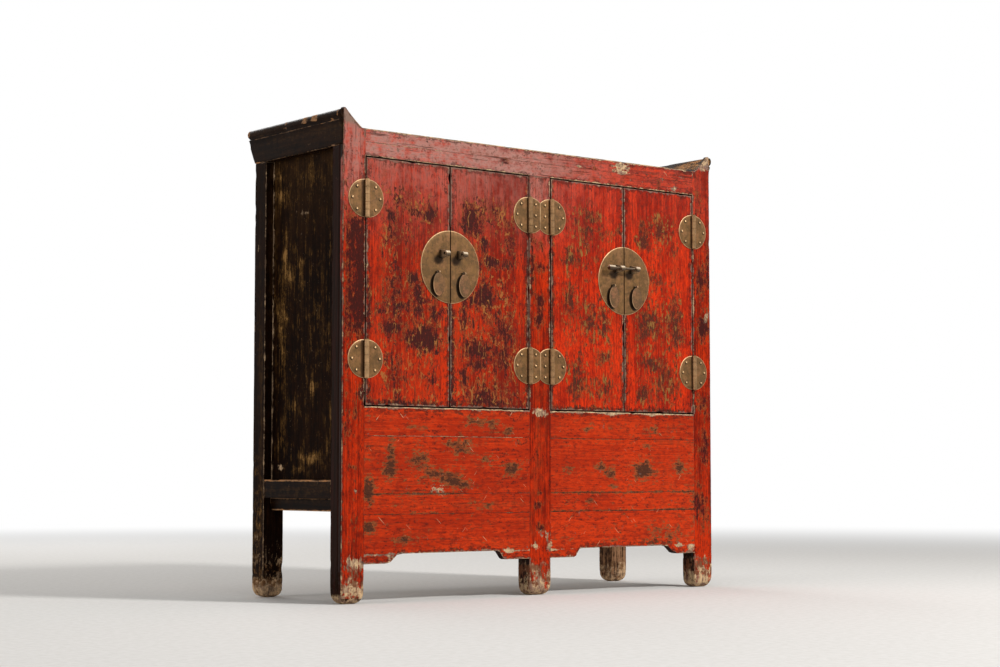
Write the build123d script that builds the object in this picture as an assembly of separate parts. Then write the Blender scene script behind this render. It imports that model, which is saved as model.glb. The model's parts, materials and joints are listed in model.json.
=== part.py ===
from build123d import *
from math import cos, radians, sin
import os

# A lacquered wedding sideboard: five feet, two pairs of doors under a top with raised end
# flanges, round brass hinges and lock plates, and a hidden compartment under lift-out
# floor lids. Millimetres, +Z up, +X to the right of someone facing the doors, +Y to the
# back. The model is drawn with the fronts of the posts at Y = 0 and the floor at Z = 0,
# and is moved along Y at the end, so that its origin is the middle of its footprint.

# ---- carcass ----
BODY_WIDTH = 1250.0  # across the outer faces of the posts
BODY_DEPTH = 407.0  # from the front faces of the posts to their back faces
TOP_HEIGHT = 1166.0  # from the floor to the upper face of the top board
TOP_THICKNESS = 33.0
TOP_TONGUE_THICKNESS = 11.0
BACK_OVERHANG = 25.0  # the top runs this far past the back posts
FRONT_POST_WIDTH = 66.0
FRONT_POST_DEPTH = 48.0
CENTRE_POST_WIDTH = 71.0
BACK_POST_WIDTH = 60.0
BACK_POST_DEPTH = 52.0
TENON_LENGTH = 28.0
TENON_THICKNESS = 14.0
TENON_SHOULDER = 6.0  # the tenon is this much lower than its rail, above and below
TONGUE = 6.0  # panels run this far into their grooves, and tongues are set in as far
PAST = 1.0  # how far a cutter, or a piece that is joined on, runs past a face

# ---- end flanges of the top ----
FLANGE_RISE = 46.0  # the peak, above the top board
FLANGE_WIDTH = 56.0  # the slope's foot, in from the outer face of the posts
FLANGE_SAG = 2.4  # how hollow the slope is
PEAK_FLAT = 6.0
FLANGE_FRONT = 13.0  # thickness of the post's own front blade that hides the moulding's end
FASCIA_DROP = 46.0  # the fascia's lower edge, below the upper face of the top board
FASCIA_HEIGHT = 42.0
FASCIA_LEAN = 2.0
FASCIA_BACK_SLANT = 19.0
COVE_HEIGHT = 20.0
COVE_HOLLOW = 1.5
COVE_PROUD = 7.0  # the arris over the cove, out from the post
BEAD_RADIUS = 12.0
BEAD_CENTRE_RISE = 31.0  # above the top board
BEAD_GROOVE = 3.0  # height of the step between the cove's arris and the bead
BEAD_PEAK_IN = 2.0  # the slope meets the bead this far in from its middle
BEAD_PEAK_DROP = 1.0  # and this far below its highest line
BEAD_PROUD = 11.0  # the bead's outermost line, out from the post

# ---- front frame ----
TOP_RAIL_HEIGHT = 35.0
SILL_TOP = 480.0  # the lower edge of the door openings
SILL_HEIGHT = 72.0
RAIL_DEPTH = 40.0
STOP_HEIGHT = 8.0  # the rebate that the doors close against
STOP_GAP = 1.0
FRONT_BOARD_THICKNESS = 20.0
SECOND_BOARD_HEIGHT = 50.0
APRON_TOP = 215.0
APRON_EDGE = 118.0
APRON_LUG = 95.0  # the apron's lowest edge, beside each leg
OUTER_LUG_LENGTH = 68.0
INNER_LUG_LENGTH = 81.0
OUTER_STEP = 48.0  # length of the ogee from the lug up to the apron's edge
INNER_STEP = 28.0
OGEE_CUSP = 0.45  # where the ogee's two arcs meet, as a share of its length
OGEE_LOW = (0.28, 0.16)  # a point that the first arc passes, as shares of length and rise
OGEE_HIGH = (0.66, 0.88)  # the same of the second arc

# ---- sides ----
PANEL_RECESS = 22.0
PANEL_THICKNESS = 11.0
SIDE_RAIL_TOP = 300.0
SIDE_RAIL_HEIGHT = 46.0
SIDE_RAIL_RECESS = 2.0
BOTTOM_RAIL_HEIGHT = 32.0
BOTTOM_RAIL_RECESS = 20.0
BOTTOM_RAIL_DEPTH = 30.0

# ---- back ----
BACK_RAIL_DEPTH = 40.0
BACK_TOP_RAIL_HEIGHT = 48.0
BACK_MIDDLE_RAIL_HEIGHT = 48.0
BACK_BOARD_THICKNESS = 10.0
BACK_BOARD_RECESS = 13.0
BACK_BOARDS_ACROSS = 5
PLANK_GAP = 1.0

# ---- inside ----
FLOOR_THICKNESS = 14.0
BEARER_WIDTH = 24.0
BEARER_HEIGHT = 24.0
CLEAT_WIDTH = 20.0
LID_SIDE_MARGIN = 61.75  # from the sides of the door opening
LID_FRONT_MARGIN = 50.0  # from the front rail
LID_BACK_MARGIN = 47.0  # from the back rail
LID_GAP = 1.5
SHELF_THICKNESS = 16.0
SHELF_SETBACK = 22.0  # behind the battens of the closed doors
COMPARTMENT_BOTTOM_THICKNESS = 14.0
COMPARTMENT_BOTTOM_RISE = 4.0

# ---- doors ----
DOOR_THICKNESS = 22.0
DOOR_GAP = 3.0
BATTEN_WIDTH = 45.0
BATTEN_THICKNESS = 16.0
BATTEN_END_INSET = 26.0  # from the door's edges
BATTEN_INSET = 62.0  # from the door's top and bottom

# ---- hinges ----
HINGE_FROM_TOP = 106.0  # below the top of the opening
HINGE_FROM_SILL = 116.0
HINGE_PLATE_RADIUS = 47.5
HINGE_PLATE_SPLIT = 5.0  # each half plate stops this far from the hinge's axis
PLATE_THICKNESS = 1.8
KNUCKLE_RADIUS = 6.0
KNUCKLE_STANDOFF = 0.4  # between the knuckles and the face of the door
KNUCKLES = 5
KNUCKLE_GAP = 0.5
HINGE_WEB = 2.0  # the webs join the knuckles from here outwards
HINGE_PIN_RADIUS = 2.5
HINGE_PIN_CAP_RADIUS = 4.0
HINGE_PIN_CAP = 1.6
RUNNING_CLEARANCE = 0.05
CENTRE_PLATE_GAP = 0.2  # from each centre half plate to the middle of the post

# ---- nails ----
NAIL_EDGE = 11.2  # from the rim of a hinge plate
NAIL_ANGLE = 51.0  # the upper and lower nails, from the middle one
CENTRE_NAIL_OUT = 16.0  # on the centre post, from the middle of the hinge plate
CENTRE_NAIL_EDGE = 18.0  # on the centre post, below the plate's highest point
NAIL_RADIUS = 1.2
NAIL_LENGTH = 14.0
NAIL_HEAD_RADIUS = 3.6
NAIL_HEAD_HEIGHT = 2.2

# ---- locks ----
LOCK_ABOVE_MIDDLE = 49.0  # the plates' centre, above the middle of the doors
LOCK_PLATE_RADIUS = 93.0
LUG_FROM_SEAM = 28.0
LUG_RISE = 32.0  # above the plates' centre
LUG_WIDTH = 14.0
LUG_BASE_HALF = 11.0
LUG_TIP_RADIUS = 7.0
LUG_REACH = 32.0  # from the door's face to the tip
LUG_ROUNDING = 2.0
EYE_RADIUS = 3.05
EYE_FROM_TIP = 10.0  # from the lug's tip to the middle of its eye
SHANK_RADIUS = 4.0
CLENCH_LENGTH = 32.0
CLENCH_WIDTH = 6.0
CLENCH_THICKNESS = 2.5

# ---- pulls ----
PULL_FROM_SEAM = 41.0
PULL_DROP = 14.0  # the staple, below the plates' centre
STAPLE_RADIUS = 1.5
STAPLE_HALF = 5.5
STAPLE_REACH = 7.5
PENDANT_WIDTH = 36.0
PENDANT_HEIGHT = 60.0
PENDANT_THICKNESS = 2.6
PENDANT_TOP_DROP = 2.0  # the plate's top, below the staple
PENDANT_KNUCKLE_RADIUS = 3.1
PENDANT_SIDE_GAP = 0.4

# ---- lock pin ----
PIN_RADIUS = EYE_RADIUS - RUNNING_CLEARANCE
PIN_HEAD_RADIUS = 6.8
PIN_HEAD_LENGTH = 22.0
PIN_HEAD_ROUNDING = 1.7
PIN_PAST_LUG = 2.0  # how far its tip passes the far lug when it is pushed home
PIN_CLEAR = 0.6  # between its tip and the far lug when it is drawn back

# ---- worked out from the above ----
HALF_WIDTH = BODY_WIDTH / 2
OPENING_OUT = HALF_WIDTH - FRONT_POST_WIDTH
OPENING_IN = CENTRE_POST_WIDTH / 2
TOP_UNDERSIDE = TOP_HEIGHT - TOP_THICKNESS
OPENING_TOP = TOP_UNDERSIDE - TOP_RAIL_HEIGHT
POST_TOP = TOP_HEIGHT - FASCIA_DROP
SILL_BOTTOM = SILL_TOP - SILL_HEIGHT
PANEL_OUT = HALF_WIDTH - PANEL_RECESS
PANEL_IN = PANEL_OUT - PANEL_THICKNESS
BACK_POST_FRONT = BODY_DEPTH - BACK_POST_DEPTH
BACK_RAIL_FRONT = BODY_DEPTH - BACK_RAIL_DEPTH
BACK_BOARD_BACK = BODY_DEPTH - BACK_BOARD_RECESS
BACK_BOARD_FRONT = BACK_BOARD_BACK - BACK_BOARD_THICKNESS
SIDE_RAIL_BOTTOM = SIDE_RAIL_TOP - SIDE_RAIL_HEIGHT
BOTTOM_RAIL_BOTTOM = SIDE_RAIL_BOTTOM - BOTTOM_RAIL_HEIGHT
BOTTOM_RAIL_IN = HALF_WIDTH - BOTTOM_RAIL_RECESS - BOTTOM_RAIL_DEPTH
FLOOR_TOP = SILL_TOP + STOP_HEIGHT
FLOOR_UNDERSIDE = FLOOR_TOP - FLOOR_THICKNESS
DOOR_MIDDLE = (SILL_TOP + OPENING_TOP) / 2
SHELF_TOP = DOOR_MIDDLE
BACK_MIDDLE_RAIL_BOTTOM = FLOOR_TOP - BACK_MIDDLE_RAIL_HEIGHT
BACK_TOP_RAIL_BOTTOM = TOP_UNDERSIDE - BACK_TOP_RAIL_HEIGHT
SHELF_FRONT = DOOR_THICKNESS + BATTEN_THICKNESS + SHELF_SETBACK
TOP_BACK = BODY_DEPTH + BACK_OVERHANG

HINGE_AXIS_Y = -KNUCKLE_RADIUS - KNUCKLE_STANDOFF
HINGE_HEIGHT = 2 * HINGE_PLATE_RADIUS
HINGE_HEIGHTS = (SILL_TOP + HINGE_FROM_SILL, OPENING_TOP - HINGE_FROM_TOP)
OUTER_AXIS_X = OPENING_OUT - DOOR_GAP / 2
INNER_AXIS_X = OPENING_IN + DOOR_GAP / 2
SEAM_X = (OUTER_AXIS_X + INNER_AXIS_X) / 2
AXIS_TO_SEAM = OUTER_AXIS_X - SEAM_X
DOOR_EDGES = (DOOR_GAP / 2, AXIS_TO_SEAM - DOOR_GAP / 2)
DOOR_ENDS = (SILL_TOP + DOOR_GAP, OPENING_TOP - DOOR_GAP)
LOCK_Z = DOOR_MIDDLE + LOCK_ABOVE_MIDDLE
EYE_Z = LOCK_Z + LUG_RISE
EYE_REACH = LUG_REACH - EYE_FROM_TIP
PULL_Z = LOCK_Z - PULL_DROP

LUG_INNER_FACE = LUG_FROM_SEAM - LUG_WIDTH / 2
LUG_OUTER_FACE = LUG_FROM_SEAM + LUG_WIDTH / 2
PIN_LENGTH = PIN_HEAD_LENGTH + 2 * LUG_OUTER_FACE + PIN_PAST_LUG
PIN_TIP = LUG_INNER_FACE - PIN_CLEAR  # past the seam, with the pin drawn back
PIN_PUSH = LUG_OUTER_FACE + PIN_PAST_LUG - PIN_TIP  # from drawn back to home
PIN_PULL = LUG_OUTER_FACE + PIN_TIP + PIN_PAST_LUG  # from drawn back to right out

Y_SHIFT = -(TOP_BACK - LUG_REACH) / 2  # puts the middle of the depth at Y = 0


# ---- helpers ----
def block(x, y, z):
    """A box between pairs of limits along X, Y and Z."""
    sides = [high - low for low, high in (x, y, z)]
    return Pos(*[sum(pair) / 2 for pair in (x, y, z)]) * Box(*sides)


def rod_x(x, y, z, radius):
    """A round rod along X between two limits, and the same along Y and Z below."""
    return Pos(sum(x) / 2, y, z) * Rot(0, 90, 0) * Cylinder(radius, x[1] - x[0])


def rod_y(x, y, z, radius):
    return Pos(x, sum(y) / 2, z) * Rot(90, 0, 0) * Cylinder(radius, y[1] - y[0])


def rod_z(x, y, z, radius):
    return Pos(x, y, sum(z) / 2) * Cylinder(radius, z[1] - z[0])


def prism_y(outline, y):
    """An outline in X and Z, drawn out between two values of Y."""
    plane = Plane(origin=(0, y[1], 0), x_dir=(1, 0, 0), z_dir=(0, -1, 0))
    return extrude(plane * make_face(outline), amount=y[1] - y[0], dir=(0, -1, 0))


def prism_x(outline, x):
    """An outline in Y and Z, drawn out between two values of X."""
    plane = Plane(origin=(x[0], 0, 0), x_dir=(0, 1, 0), z_dir=(1, 0, 0))
    return extrude(plane * make_face(outline), amount=x[1] - x[0], dir=(1, 0, 0))


def cut(host, *guests):
    """The host with a bed for each guest: a mortise for a tenon, a groove for a panel."""
    for guest in guests:
        host = host - guest
    return host


def mirrored(shape):
    """The same piece on the other side of the middle plane."""
    return mirror(shape, about=Plane.YZ)


def both_sides(shape):
    return [mirrored(shape), shape]


def rail_x(x, y, z):
    """A rail along X between its shoulders, with a tenon at each end."""
    middle = sum(y) / 2
    tenon = block(
        (x[0] - TENON_LENGTH, x[1] + TENON_LENGTH),
        (middle - TENON_THICKNESS / 2, middle + TENON_THICKNESS / 2),
        (z[0] + TENON_SHOULDER, z[1] - TENON_SHOULDER),
    )
    return block(x, y, z) + tenon


def rail_y(x, y, z):
    """A rail along Y between its shoulders, with a tenon at each end."""
    middle = sum(x) / 2
    tenon = block(
        (middle - TENON_THICKNESS / 2, middle + TENON_THICKNESS / 2),
        (y[0] - TENON_LENGTH, y[1] + TENON_LENGTH),
        (z[0] + TENON_SHOULDER, z[1] - TENON_SHOULDER),
    )
    return block(x, y, z) + tenon


# ---- top and flanges ----
def slope(foot, peak):
    """The hollow upper face of a flange, from its foot to its peak, in X and Z."""
    middle = ((foot[0] + peak[0]) / 2, (foot[1] + peak[1]) / 2 - FLANGE_SAG)
    return ThreePointArc(foot, middle, peak)


def flange_blade():
    """The right front post's own end, which rises in front of the moulded flange."""
    foot = (HALF_WIDTH - FLANGE_WIDTH, TOP_HEIGHT)
    peak = (HALF_WIDTH - PEAK_FLAT, TOP_HEIGHT + FLANGE_RISE)
    rest = Polyline(
        peak,
        (HALF_WIDTH, TOP_HEIGHT + FLANGE_RISE),
        (HALF_WIDTH, POST_TOP),
        (OPENING_OUT, POST_TOP),
        (OPENING_OUT, TOP_HEIGHT),
        foot,
    )
    return prism_y(slope(foot, peak) + rest, (0, FLANGE_FRONT))


def flange_moulding():
    """The right end of the top: fascia, cove, bead and the slope up to it."""
    bead_x = HALF_WIDTH + BEAD_PROUD - BEAD_RADIUS
    bead_z = TOP_HEIGHT + BEAD_CENTRE_RISE
    fascia_top = POST_TOP + FASCIA_HEIGHT
    fascia_x = HALF_WIDTH + FASCIA_LEAN
    arris = (HALF_WIDTH + COVE_PROUD, fascia_top + COVE_HEIGHT)
    hollow = ((fascia_x + arris[0]) / 2 - COVE_HOLLOW, fascia_top + COVE_HEIGHT / 2)
    foot = (HALF_WIDTH - FLANGE_WIDTH, TOP_HEIGHT)
    peak = (bead_x - BEAD_PEAK_IN, bead_z + BEAD_RADIUS - BEAD_PEAK_DROP)
    lower = Polyline(
        foot,
        (OPENING_OUT, TOP_HEIGHT),
        (OPENING_OUT, POST_TOP),
        (HALF_WIDTH, POST_TOP),
        (fascia_x, fascia_top),
    )
    cove = ThreePointArc((fascia_x, fascia_top), hollow, arris)
    upper = Polyline(arris, (bead_x, arris[1] + BEAD_GROOVE), (bead_x, bead_z), peak)
    along = (FLANGE_FRONT, TOP_BACK)
    body = prism_y(lower + cove + upper + slope(foot, peak), along)
    body = body + rod_y(bead_x, along, bead_z, BEAD_RADIUS)
    slant = Polyline(
        (TOP_BACK, fascia_top),
        (TOP_BACK - FASCIA_BACK_SLANT, POST_TOP),
        (TOP_BACK + PAST, POST_TOP - PAST),
        (TOP_BACK + PAST, fascia_top),
        close=True,
    )
    return body - prism_x(slant, (0, HALF_WIDTH + BEAD_RADIUS))


def top_board():
    """The top, with a tongue at each end that runs into the flanges."""
    board = block(
        (-OPENING_OUT, OPENING_OUT), (0, TOP_BACK), (TOP_UNDERSIDE, TOP_HEIGHT)
    )
    middle = (TOP_UNDERSIDE + TOP_HEIGHT) / 2
    tongue = block(
        (-OPENING_OUT - TONGUE, OPENING_OUT + TONGUE),
        (FLANGE_FRONT + TONGUE, TOP_BACK - TONGUE - FASCIA_BACK_SLANT),
        (middle - TOP_TONGUE_THICKNESS / 2, middle + TOP_TONGUE_THICKNESS / 2),
    )
    return board + tongue


# ---- carcass ----
def back_planks(bottom, top):
    """Upright boards side by side between the back posts, tongued all round."""
    low = -HALF_WIDTH + BACK_POST_WIDTH - TONGUE
    pitch = -2 * low / BACK_BOARDS_ACROSS
    return [
        block(
            (low + n * pitch + PLANK_GAP / 2, low + (n + 1) * pitch - PLANK_GAP / 2),
            (BACK_BOARD_FRONT, BACK_BOARD_BACK),
            (bottom - TONGUE, top + TONGUE),
        )
        for n in range(BACK_BOARDS_ACROSS)
    ]


def apron():
    """The right bay's shaped apron, with a lug beside each leg."""
    inner_end = OPENING_IN + INNER_LUG_LENGTH
    outer_end = OPENING_OUT - OUTER_LUG_LENGTH
    cusp = (APRON_EDGE + APRON_LUG) / 2
    straight = Polyline(
        (outer_end, APRON_LUG),
        (OPENING_OUT, APRON_LUG),
        (OPENING_OUT, APRON_TOP),
        (OPENING_IN, APRON_TOP),
        (OPENING_IN, APRON_LUG),
        (inner_end, APRON_LUG),
    )
    steps = (
        ogee(inner_end, INNER_STEP, cusp)
        + Line((inner_end + INNER_STEP, APRON_EDGE), (outer_end - OUTER_STEP, APRON_EDGE))
        + ogee(outer_end, -OUTER_STEP, cusp)
    )
    board = prism_y(straight + steps, (0, FRONT_BOARD_THICKNESS))
    tongue = block(
        (OPENING_IN - TONGUE, OPENING_OUT + TONGUE),
        (TONGUE, FRONT_BOARD_THICKNESS - TONGUE),
        (APRON_EDGE + TONGUE, APRON_TOP),
    )
    return board + tongue


def ogee(start, step, cusp):
    """Two arcs in X and Z that meet in a small cusp, from a lug up to the apron's edge."""
    rise = APRON_EDGE - APRON_LUG
    middle = (start + step * OGEE_CUSP, cusp)
    low, high = [
        (start + step * along, APRON_LUG + rise * up) for along, up in (OGEE_LOW, OGEE_HIGH)
    ]
    first = ThreePointArc((start, APRON_LUG), low, middle)
    second = ThreePointArc(middle, high, (start + step, APRON_EDGE))
    return first + second


def carcass():
    """Every fixed wooden piece, by node name."""
    bay = (OPENING_IN, OPENING_OUT)
    between_posts = (FRONT_POST_DEPTH, BACK_POST_FRONT)
    front_post = (
        block((OPENING_OUT, HALF_WIDTH), (0, FRONT_POST_DEPTH), (0, POST_TOP))
        + flange_blade()
    )
    centre_post = block(
        (-OPENING_IN, OPENING_IN), (0, FRONT_POST_DEPTH), (0, OPENING_TOP)
    )
    back_post = block(
        (HALF_WIDTH - BACK_POST_WIDTH, HALF_WIDTH), (BACK_POST_FRONT, BODY_DEPTH), (0, POST_TOP)
    )
    flange = flange_moulding()
    top = top_board()

    stop_front = DOOR_THICKNESS + STOP_GAP
    front_top_rail = rail_x(
        (-OPENING_OUT, OPENING_OUT), (0, RAIL_DEPTH), (OPENING_TOP, TOP_UNDERSIDE)
    )
    stops = [
        block(bay, (stop_front, RAIL_DEPTH), (OPENING_TOP - STOP_HEIGHT, OPENING_TOP)),
        block(bay, (stop_front, RAIL_DEPTH), (SILL_TOP, FLOOR_TOP)),
    ]
    front_top_rail = front_top_rail + stops[0] + mirrored(stops[0])
    sill = rail_x(bay, (0, RAIL_DEPTH), (SILL_BOTTOM, SILL_TOP)) + stops[1]

    board_split = APRON_TOP + SECOND_BOARD_HEIGHT
    tongued = (OPENING_IN - TONGUE, OPENING_OUT + TONGUE)
    tongue_y = (TONGUE, FRONT_BOARD_THICKNESS - TONGUE)
    lower_boards = [
        block(bay, (0, FRONT_BOARD_THICKNESS), z) + block(tongued, tongue_y, z)
        for z in ((APRON_TOP, board_split), (board_split, SILL_BOTTOM))
    ]

    side_panel = block(
        (PANEL_IN, PANEL_OUT),
        (FRONT_POST_DEPTH - TONGUE, BACK_POST_FRONT + TONGUE),
        (SIDE_RAIL_TOP - TONGUE, POST_TOP + TONGUE),
    )
    side_rail = rail_y(
        (PANEL_IN, HALF_WIDTH - SIDE_RAIL_RECESS),
        between_posts,
        (SIDE_RAIL_BOTTOM, SIDE_RAIL_TOP),
    )
    bottom_side_rail = rail_y(
        (BOTTOM_RAIL_IN, HALF_WIDTH - BOTTOM_RAIL_RECESS),
        between_posts,
        (BOTTOM_RAIL_BOTTOM, SIDE_RAIL_BOTTOM),
    )

    between_back = (-HALF_WIDTH + BACK_POST_WIDTH, HALF_WIDTH - BACK_POST_WIDTH)
    back_rail_y = (BACK_RAIL_FRONT, BODY_DEPTH)
    back_top_rail = rail_x(between_back, back_rail_y, (BACK_TOP_RAIL_BOTTOM, TOP_UNDERSIDE))
    back_top_rail = cut(back_top_rail, flange, mirrored(flange))
    front_top_rail = cut(front_top_rail, flange, mirrored(flange))
    back_middle_rail = rail_x(between_back, back_rail_y, (BACK_MIDDLE_RAIL_BOTTOM, FLOOR_TOP))
    back_bottom_rail = rail_x(
        between_back, back_rail_y, (BOTTOM_RAIL_BOTTOM, SIDE_RAIL_BOTTOM)
    )
    bottom_side_rail = cut(bottom_side_rail, back_bottom_rail)
    upper_planks = back_planks(FLOOR_TOP, BACK_TOP_RAIL_BOTTOM)
    lower_planks = back_planks(SIDE_RAIL_BOTTOM, BACK_MIDDLE_RAIL_BOTTOM)

    front_post = cut(front_post, front_top_rail, sill, *lower_boards, apron())
    front_post = cut(front_post, side_panel, side_rail, bottom_side_rail)
    centre_post = cut(centre_post, sill, mirrored(sill), apron(), mirrored(apron()))
    centre_post = cut(centre_post, *lower_boards, *[mirrored(board) for board in lower_boards])
    back_rails = (back_top_rail, back_middle_rail, back_bottom_rail)
    back_post = cut(back_post, side_panel, side_rail, bottom_side_rail, *back_rails)
    back_post = cut(back_post, upper_planks[-1], lower_planks[-1])
    flange = cut(flange, top, side_panel)
    side_rail = cut(side_rail, side_panel)
    back_top_rail = cut(back_top_rail, *upper_planks)
    back_middle_rail = cut(back_middle_rail, *upper_planks, *lower_planks)
    back_bottom_rail = cut(back_bottom_rail, *lower_planks)

    posts = [*both_sides(front_post), centre_post, *both_sides(back_post)]
    return {
        "front_left_post": [posts[0]],
        "front_right_post": [posts[1]],
        "front_centre_post": [centre_post],
        "back_left_post": [posts[3]],
        "back_right_post": [posts[4]],
        "top_board": [top],
        "left_end_flange": [mirrored(flange)],
        "right_end_flange": [flange],
        "front_top_rail": [front_top_rail],
        "back_top_rail": [back_top_rail],
        "back_lower_rails": [back_middle_rail, back_bottom_rail],
        "door_sills": both_sides(sill),
        "lower_front_boards": [half for board in lower_boards for half in both_sides(board)],
        "front_aprons": both_sides(apron()),
        "left_side_panel": [mirrored(side_panel)],
        "right_side_panel": [side_panel],
        "left_side_rail": [mirrored(side_rail)],
        "right_side_rail": [side_rail],
        "bottom_side_rails": both_sides(bottom_side_rail),
        "back_boards": upper_planks + lower_planks,
        **inside(posts),
    }


def inside(posts):
    """Floor, lift-out lids, shelf, their bearers and the hidden compartment's bottom."""
    across = (-PANEL_IN, PANEL_IN)
    floor_z = (FLOOR_UNDERSIDE, FLOOR_TOP)
    lid_x = (OPENING_IN + LID_SIDE_MARGIN, OPENING_OUT - LID_SIDE_MARGIN)
    lid_y = (RAIL_DEPTH + LID_FRONT_MARGIN, BACK_RAIL_FRONT - LID_BACK_MARGIN)
    lid = block(lid_x, lid_y, floor_z)
    hole_x = (lid_x[0] - LID_GAP, lid_x[1] + LID_GAP)
    hole_y = (lid_y[0] - LID_GAP, lid_y[1] + LID_GAP)
    floor = [
        block(across, (RAIL_DEPTH, hole_y[0]), floor_z),
        block(across, (hole_y[1], BACK_RAIL_FRONT), floor_z),
        block((-hole_x[0], hole_x[0]), hole_y, floor_z),
        *both_sides(block((hole_x[1], PANEL_IN), hole_y, floor_z)),
    ]
    floor_bearer_z = (FLOOR_UNDERSIDE - BEARER_HEIGHT, FLOOR_UNDERSIDE)
    bearer_y = (RAIL_DEPTH, BACK_RAIL_FRONT)
    bearers = []
    for edge in hole_x:
        width = (edge - BEARER_WIDTH / 2, edge + BEARER_WIDTH / 2)
        bearers += both_sides(block(width, bearer_y, floor_bearer_z))
    cleat_x = (PANEL_IN - CLEAT_WIDTH, PANEL_IN)
    cleat_y = (FRONT_POST_DEPTH, BACK_POST_FRONT)
    shelf_z = (SHELF_TOP - SHELF_THICKNESS, SHELF_TOP)
    shelf_cleat_z = (shelf_z[0] - BEARER_HEIGHT, shelf_z[0])
    bearers += both_sides(block(cleat_x, cleat_y, floor_bearer_z))
    bearers += both_sides(block(cleat_x, cleat_y, shelf_cleat_z))
    shelf_split = (SHELF_FRONT + BACK_BOARD_FRONT) / 2
    shelf = [
        block(across, (SHELF_FRONT, shelf_split), shelf_z),
        block(across, (shelf_split, BACK_BOARD_FRONT), shelf_z),
    ]
    bottom_z = BOTTOM_RAIL_BOTTOM + COMPARTMENT_BOTTOM_RISE
    bottom = block(
        (-BOTTOM_RAIL_IN, BOTTOM_RAIL_IN),
        (FRONT_BOARD_THICKNESS, BACK_RAIL_FRONT),
        (bottom_z, bottom_z + COMPARTMENT_BOTTOM_THICKNESS),
    )
    return {
        "floor_boards": [cut(board, *posts) for board in floor],
        "left_floor_lid": [mirrored(lid)],
        "right_floor_lid": [lid],
        "inner_shelf": [cut(board, *posts) for board in shelf],
        "inner_bearers": [cut(bearer, *posts) for bearer in bearers],
        "compartment_bottom": [cut(bottom, *posts)],
    }


# ---- hinges and nails, about an axis at X = 0 with the door on the +X side ----
def knuckle_spans(centre, first):
    """The heights of every second knuckle of a hinge, from knuckle number first."""
    pitch = HINGE_HEIGHT / KNUCKLES
    low = centre - HINGE_HEIGHT / 2
    return [
        (low + n * pitch + KNUCKLE_GAP / 2, low + (n + 1) * pitch - KNUCKLE_GAP / 2)
        for n in range(first, KNUCKLES, 2)
    ]


def nail_places(centre, at_centre_post):
    """Where the nails of the half plate on the +X side go, as X and Z."""
    if at_centre_post:
        rise = HINGE_PLATE_RADIUS - CENTRE_NAIL_EDGE
        across = HINGE_PLATE_SPLIT + CENTRE_NAIL_OUT
        return [(across, centre + n * rise) for n in (-1, 0, 1)]
    ring = HINGE_PLATE_RADIUS - NAIL_EDGE
    turns = [radians(n * NAIL_ANGLE) for n in (-1, 0, 1)]
    return [(HINGE_PLATE_SPLIT + ring * cos(a), centre + ring * sin(a)) for a in turns]


def hinge_leaf(centre, first, at_centre_post):
    """A half-round plate with its knuckles, on the +X side of the axis."""
    half = HINGE_HEIGHT / 2
    disc = rod_y(HINGE_PLATE_SPLIT, (-PLATE_THICKNESS, 0), centre, HINGE_PLATE_RADIUS)
    reach = HINGE_PLATE_SPLIT + HINGE_PLATE_RADIUS
    if at_centre_post:
        reach = INNER_AXIS_X - CENTRE_PLATE_GAP
    leaf = disc & block(
        (HINGE_PLATE_SPLIT, reach), (-PLATE_THICKNESS, 0), (centre - half, centre + half)
    )
    spans = knuckle_spans(centre, first)
    for z in spans:
        web = block((HINGE_WEB, HINGE_PLATE_SPLIT + PAST), (-PLATE_THICKNESS, 0), z)
        leaf = leaf + web + rod_z(0, HINGE_AXIS_Y, z, KNUCKLE_RADIUS)
    leaf = leaf - rod_z(
        0, HINGE_AXIS_Y, (centre - half, centre + half), HINGE_PIN_RADIUS + RUNNING_CLEARANCE
    )
    return cut(leaf, *nail_holes(nail_places(centre, at_centre_post)))


def hinge_pin(centre):
    """The pin, with a cap over each end knuckle."""
    half = HINGE_HEIGHT / 2
    pin = rod_z(0, HINGE_AXIS_Y, (centre - half, centre + half), HINGE_PIN_RADIUS)
    for z in ((centre + half, centre + half + HINGE_PIN_CAP),
              (centre - half - HINGE_PIN_CAP, centre - half)):
        pin = pin + rod_z(0, HINGE_AXIS_Y, z, HINGE_PIN_CAP_RADIUS)
    return pin


def nail_holes(places):
    radius = NAIL_RADIUS + RUNNING_CLEARANCE
    through = (-PLATE_THICKNESS - PAST, NAIL_LENGTH + PAST)
    return [rod_y(x, through, z, radius) for x, z in places]


def nails(places):
    """Domed nails with their heads on the plate."""
    ball = (NAIL_HEAD_RADIUS**2 + NAIL_HEAD_HEIGHT**2) / (2 * NAIL_HEAD_HEIGHT)
    face = -PLATE_THICKNESS
    head = Pos(0, face - NAIL_HEAD_HEIGHT + ball, 0) * Sphere(ball)
    head = head & block(
        (-ball, ball), (face - NAIL_HEAD_HEIGHT - PAST, face), (-ball, ball)
    )
    nail = head + rod_y(0, (face - NAIL_HEAD_HEIGHT / 2, NAIL_LENGTH), 0, NAIL_RADIUS)
    return [Pos(x, 0, z) * nail for x, z in places]


# ---- one door, hinged at X = 0 with its free edge at +X ----
def lock_fittings_holes():
    lug_x = AXIS_TO_SEAM - LUG_FROM_SEAM
    pull_x = AXIS_TO_SEAM - PULL_FROM_SEAM
    through = (-PLATE_THICKNESS - PAST, DOOR_THICKNESS + PAST)
    shanks = [(lug_x, EYE_Z, SHANK_RADIUS)]
    shanks += [(pull_x + side * STAPLE_HALF, PULL_Z, STAPLE_RADIUS) for side in (-1, 1)]
    return [rod_y(x, through, z, radius + RUNNING_CLEARANCE) for x, z, radius in shanks]


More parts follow.
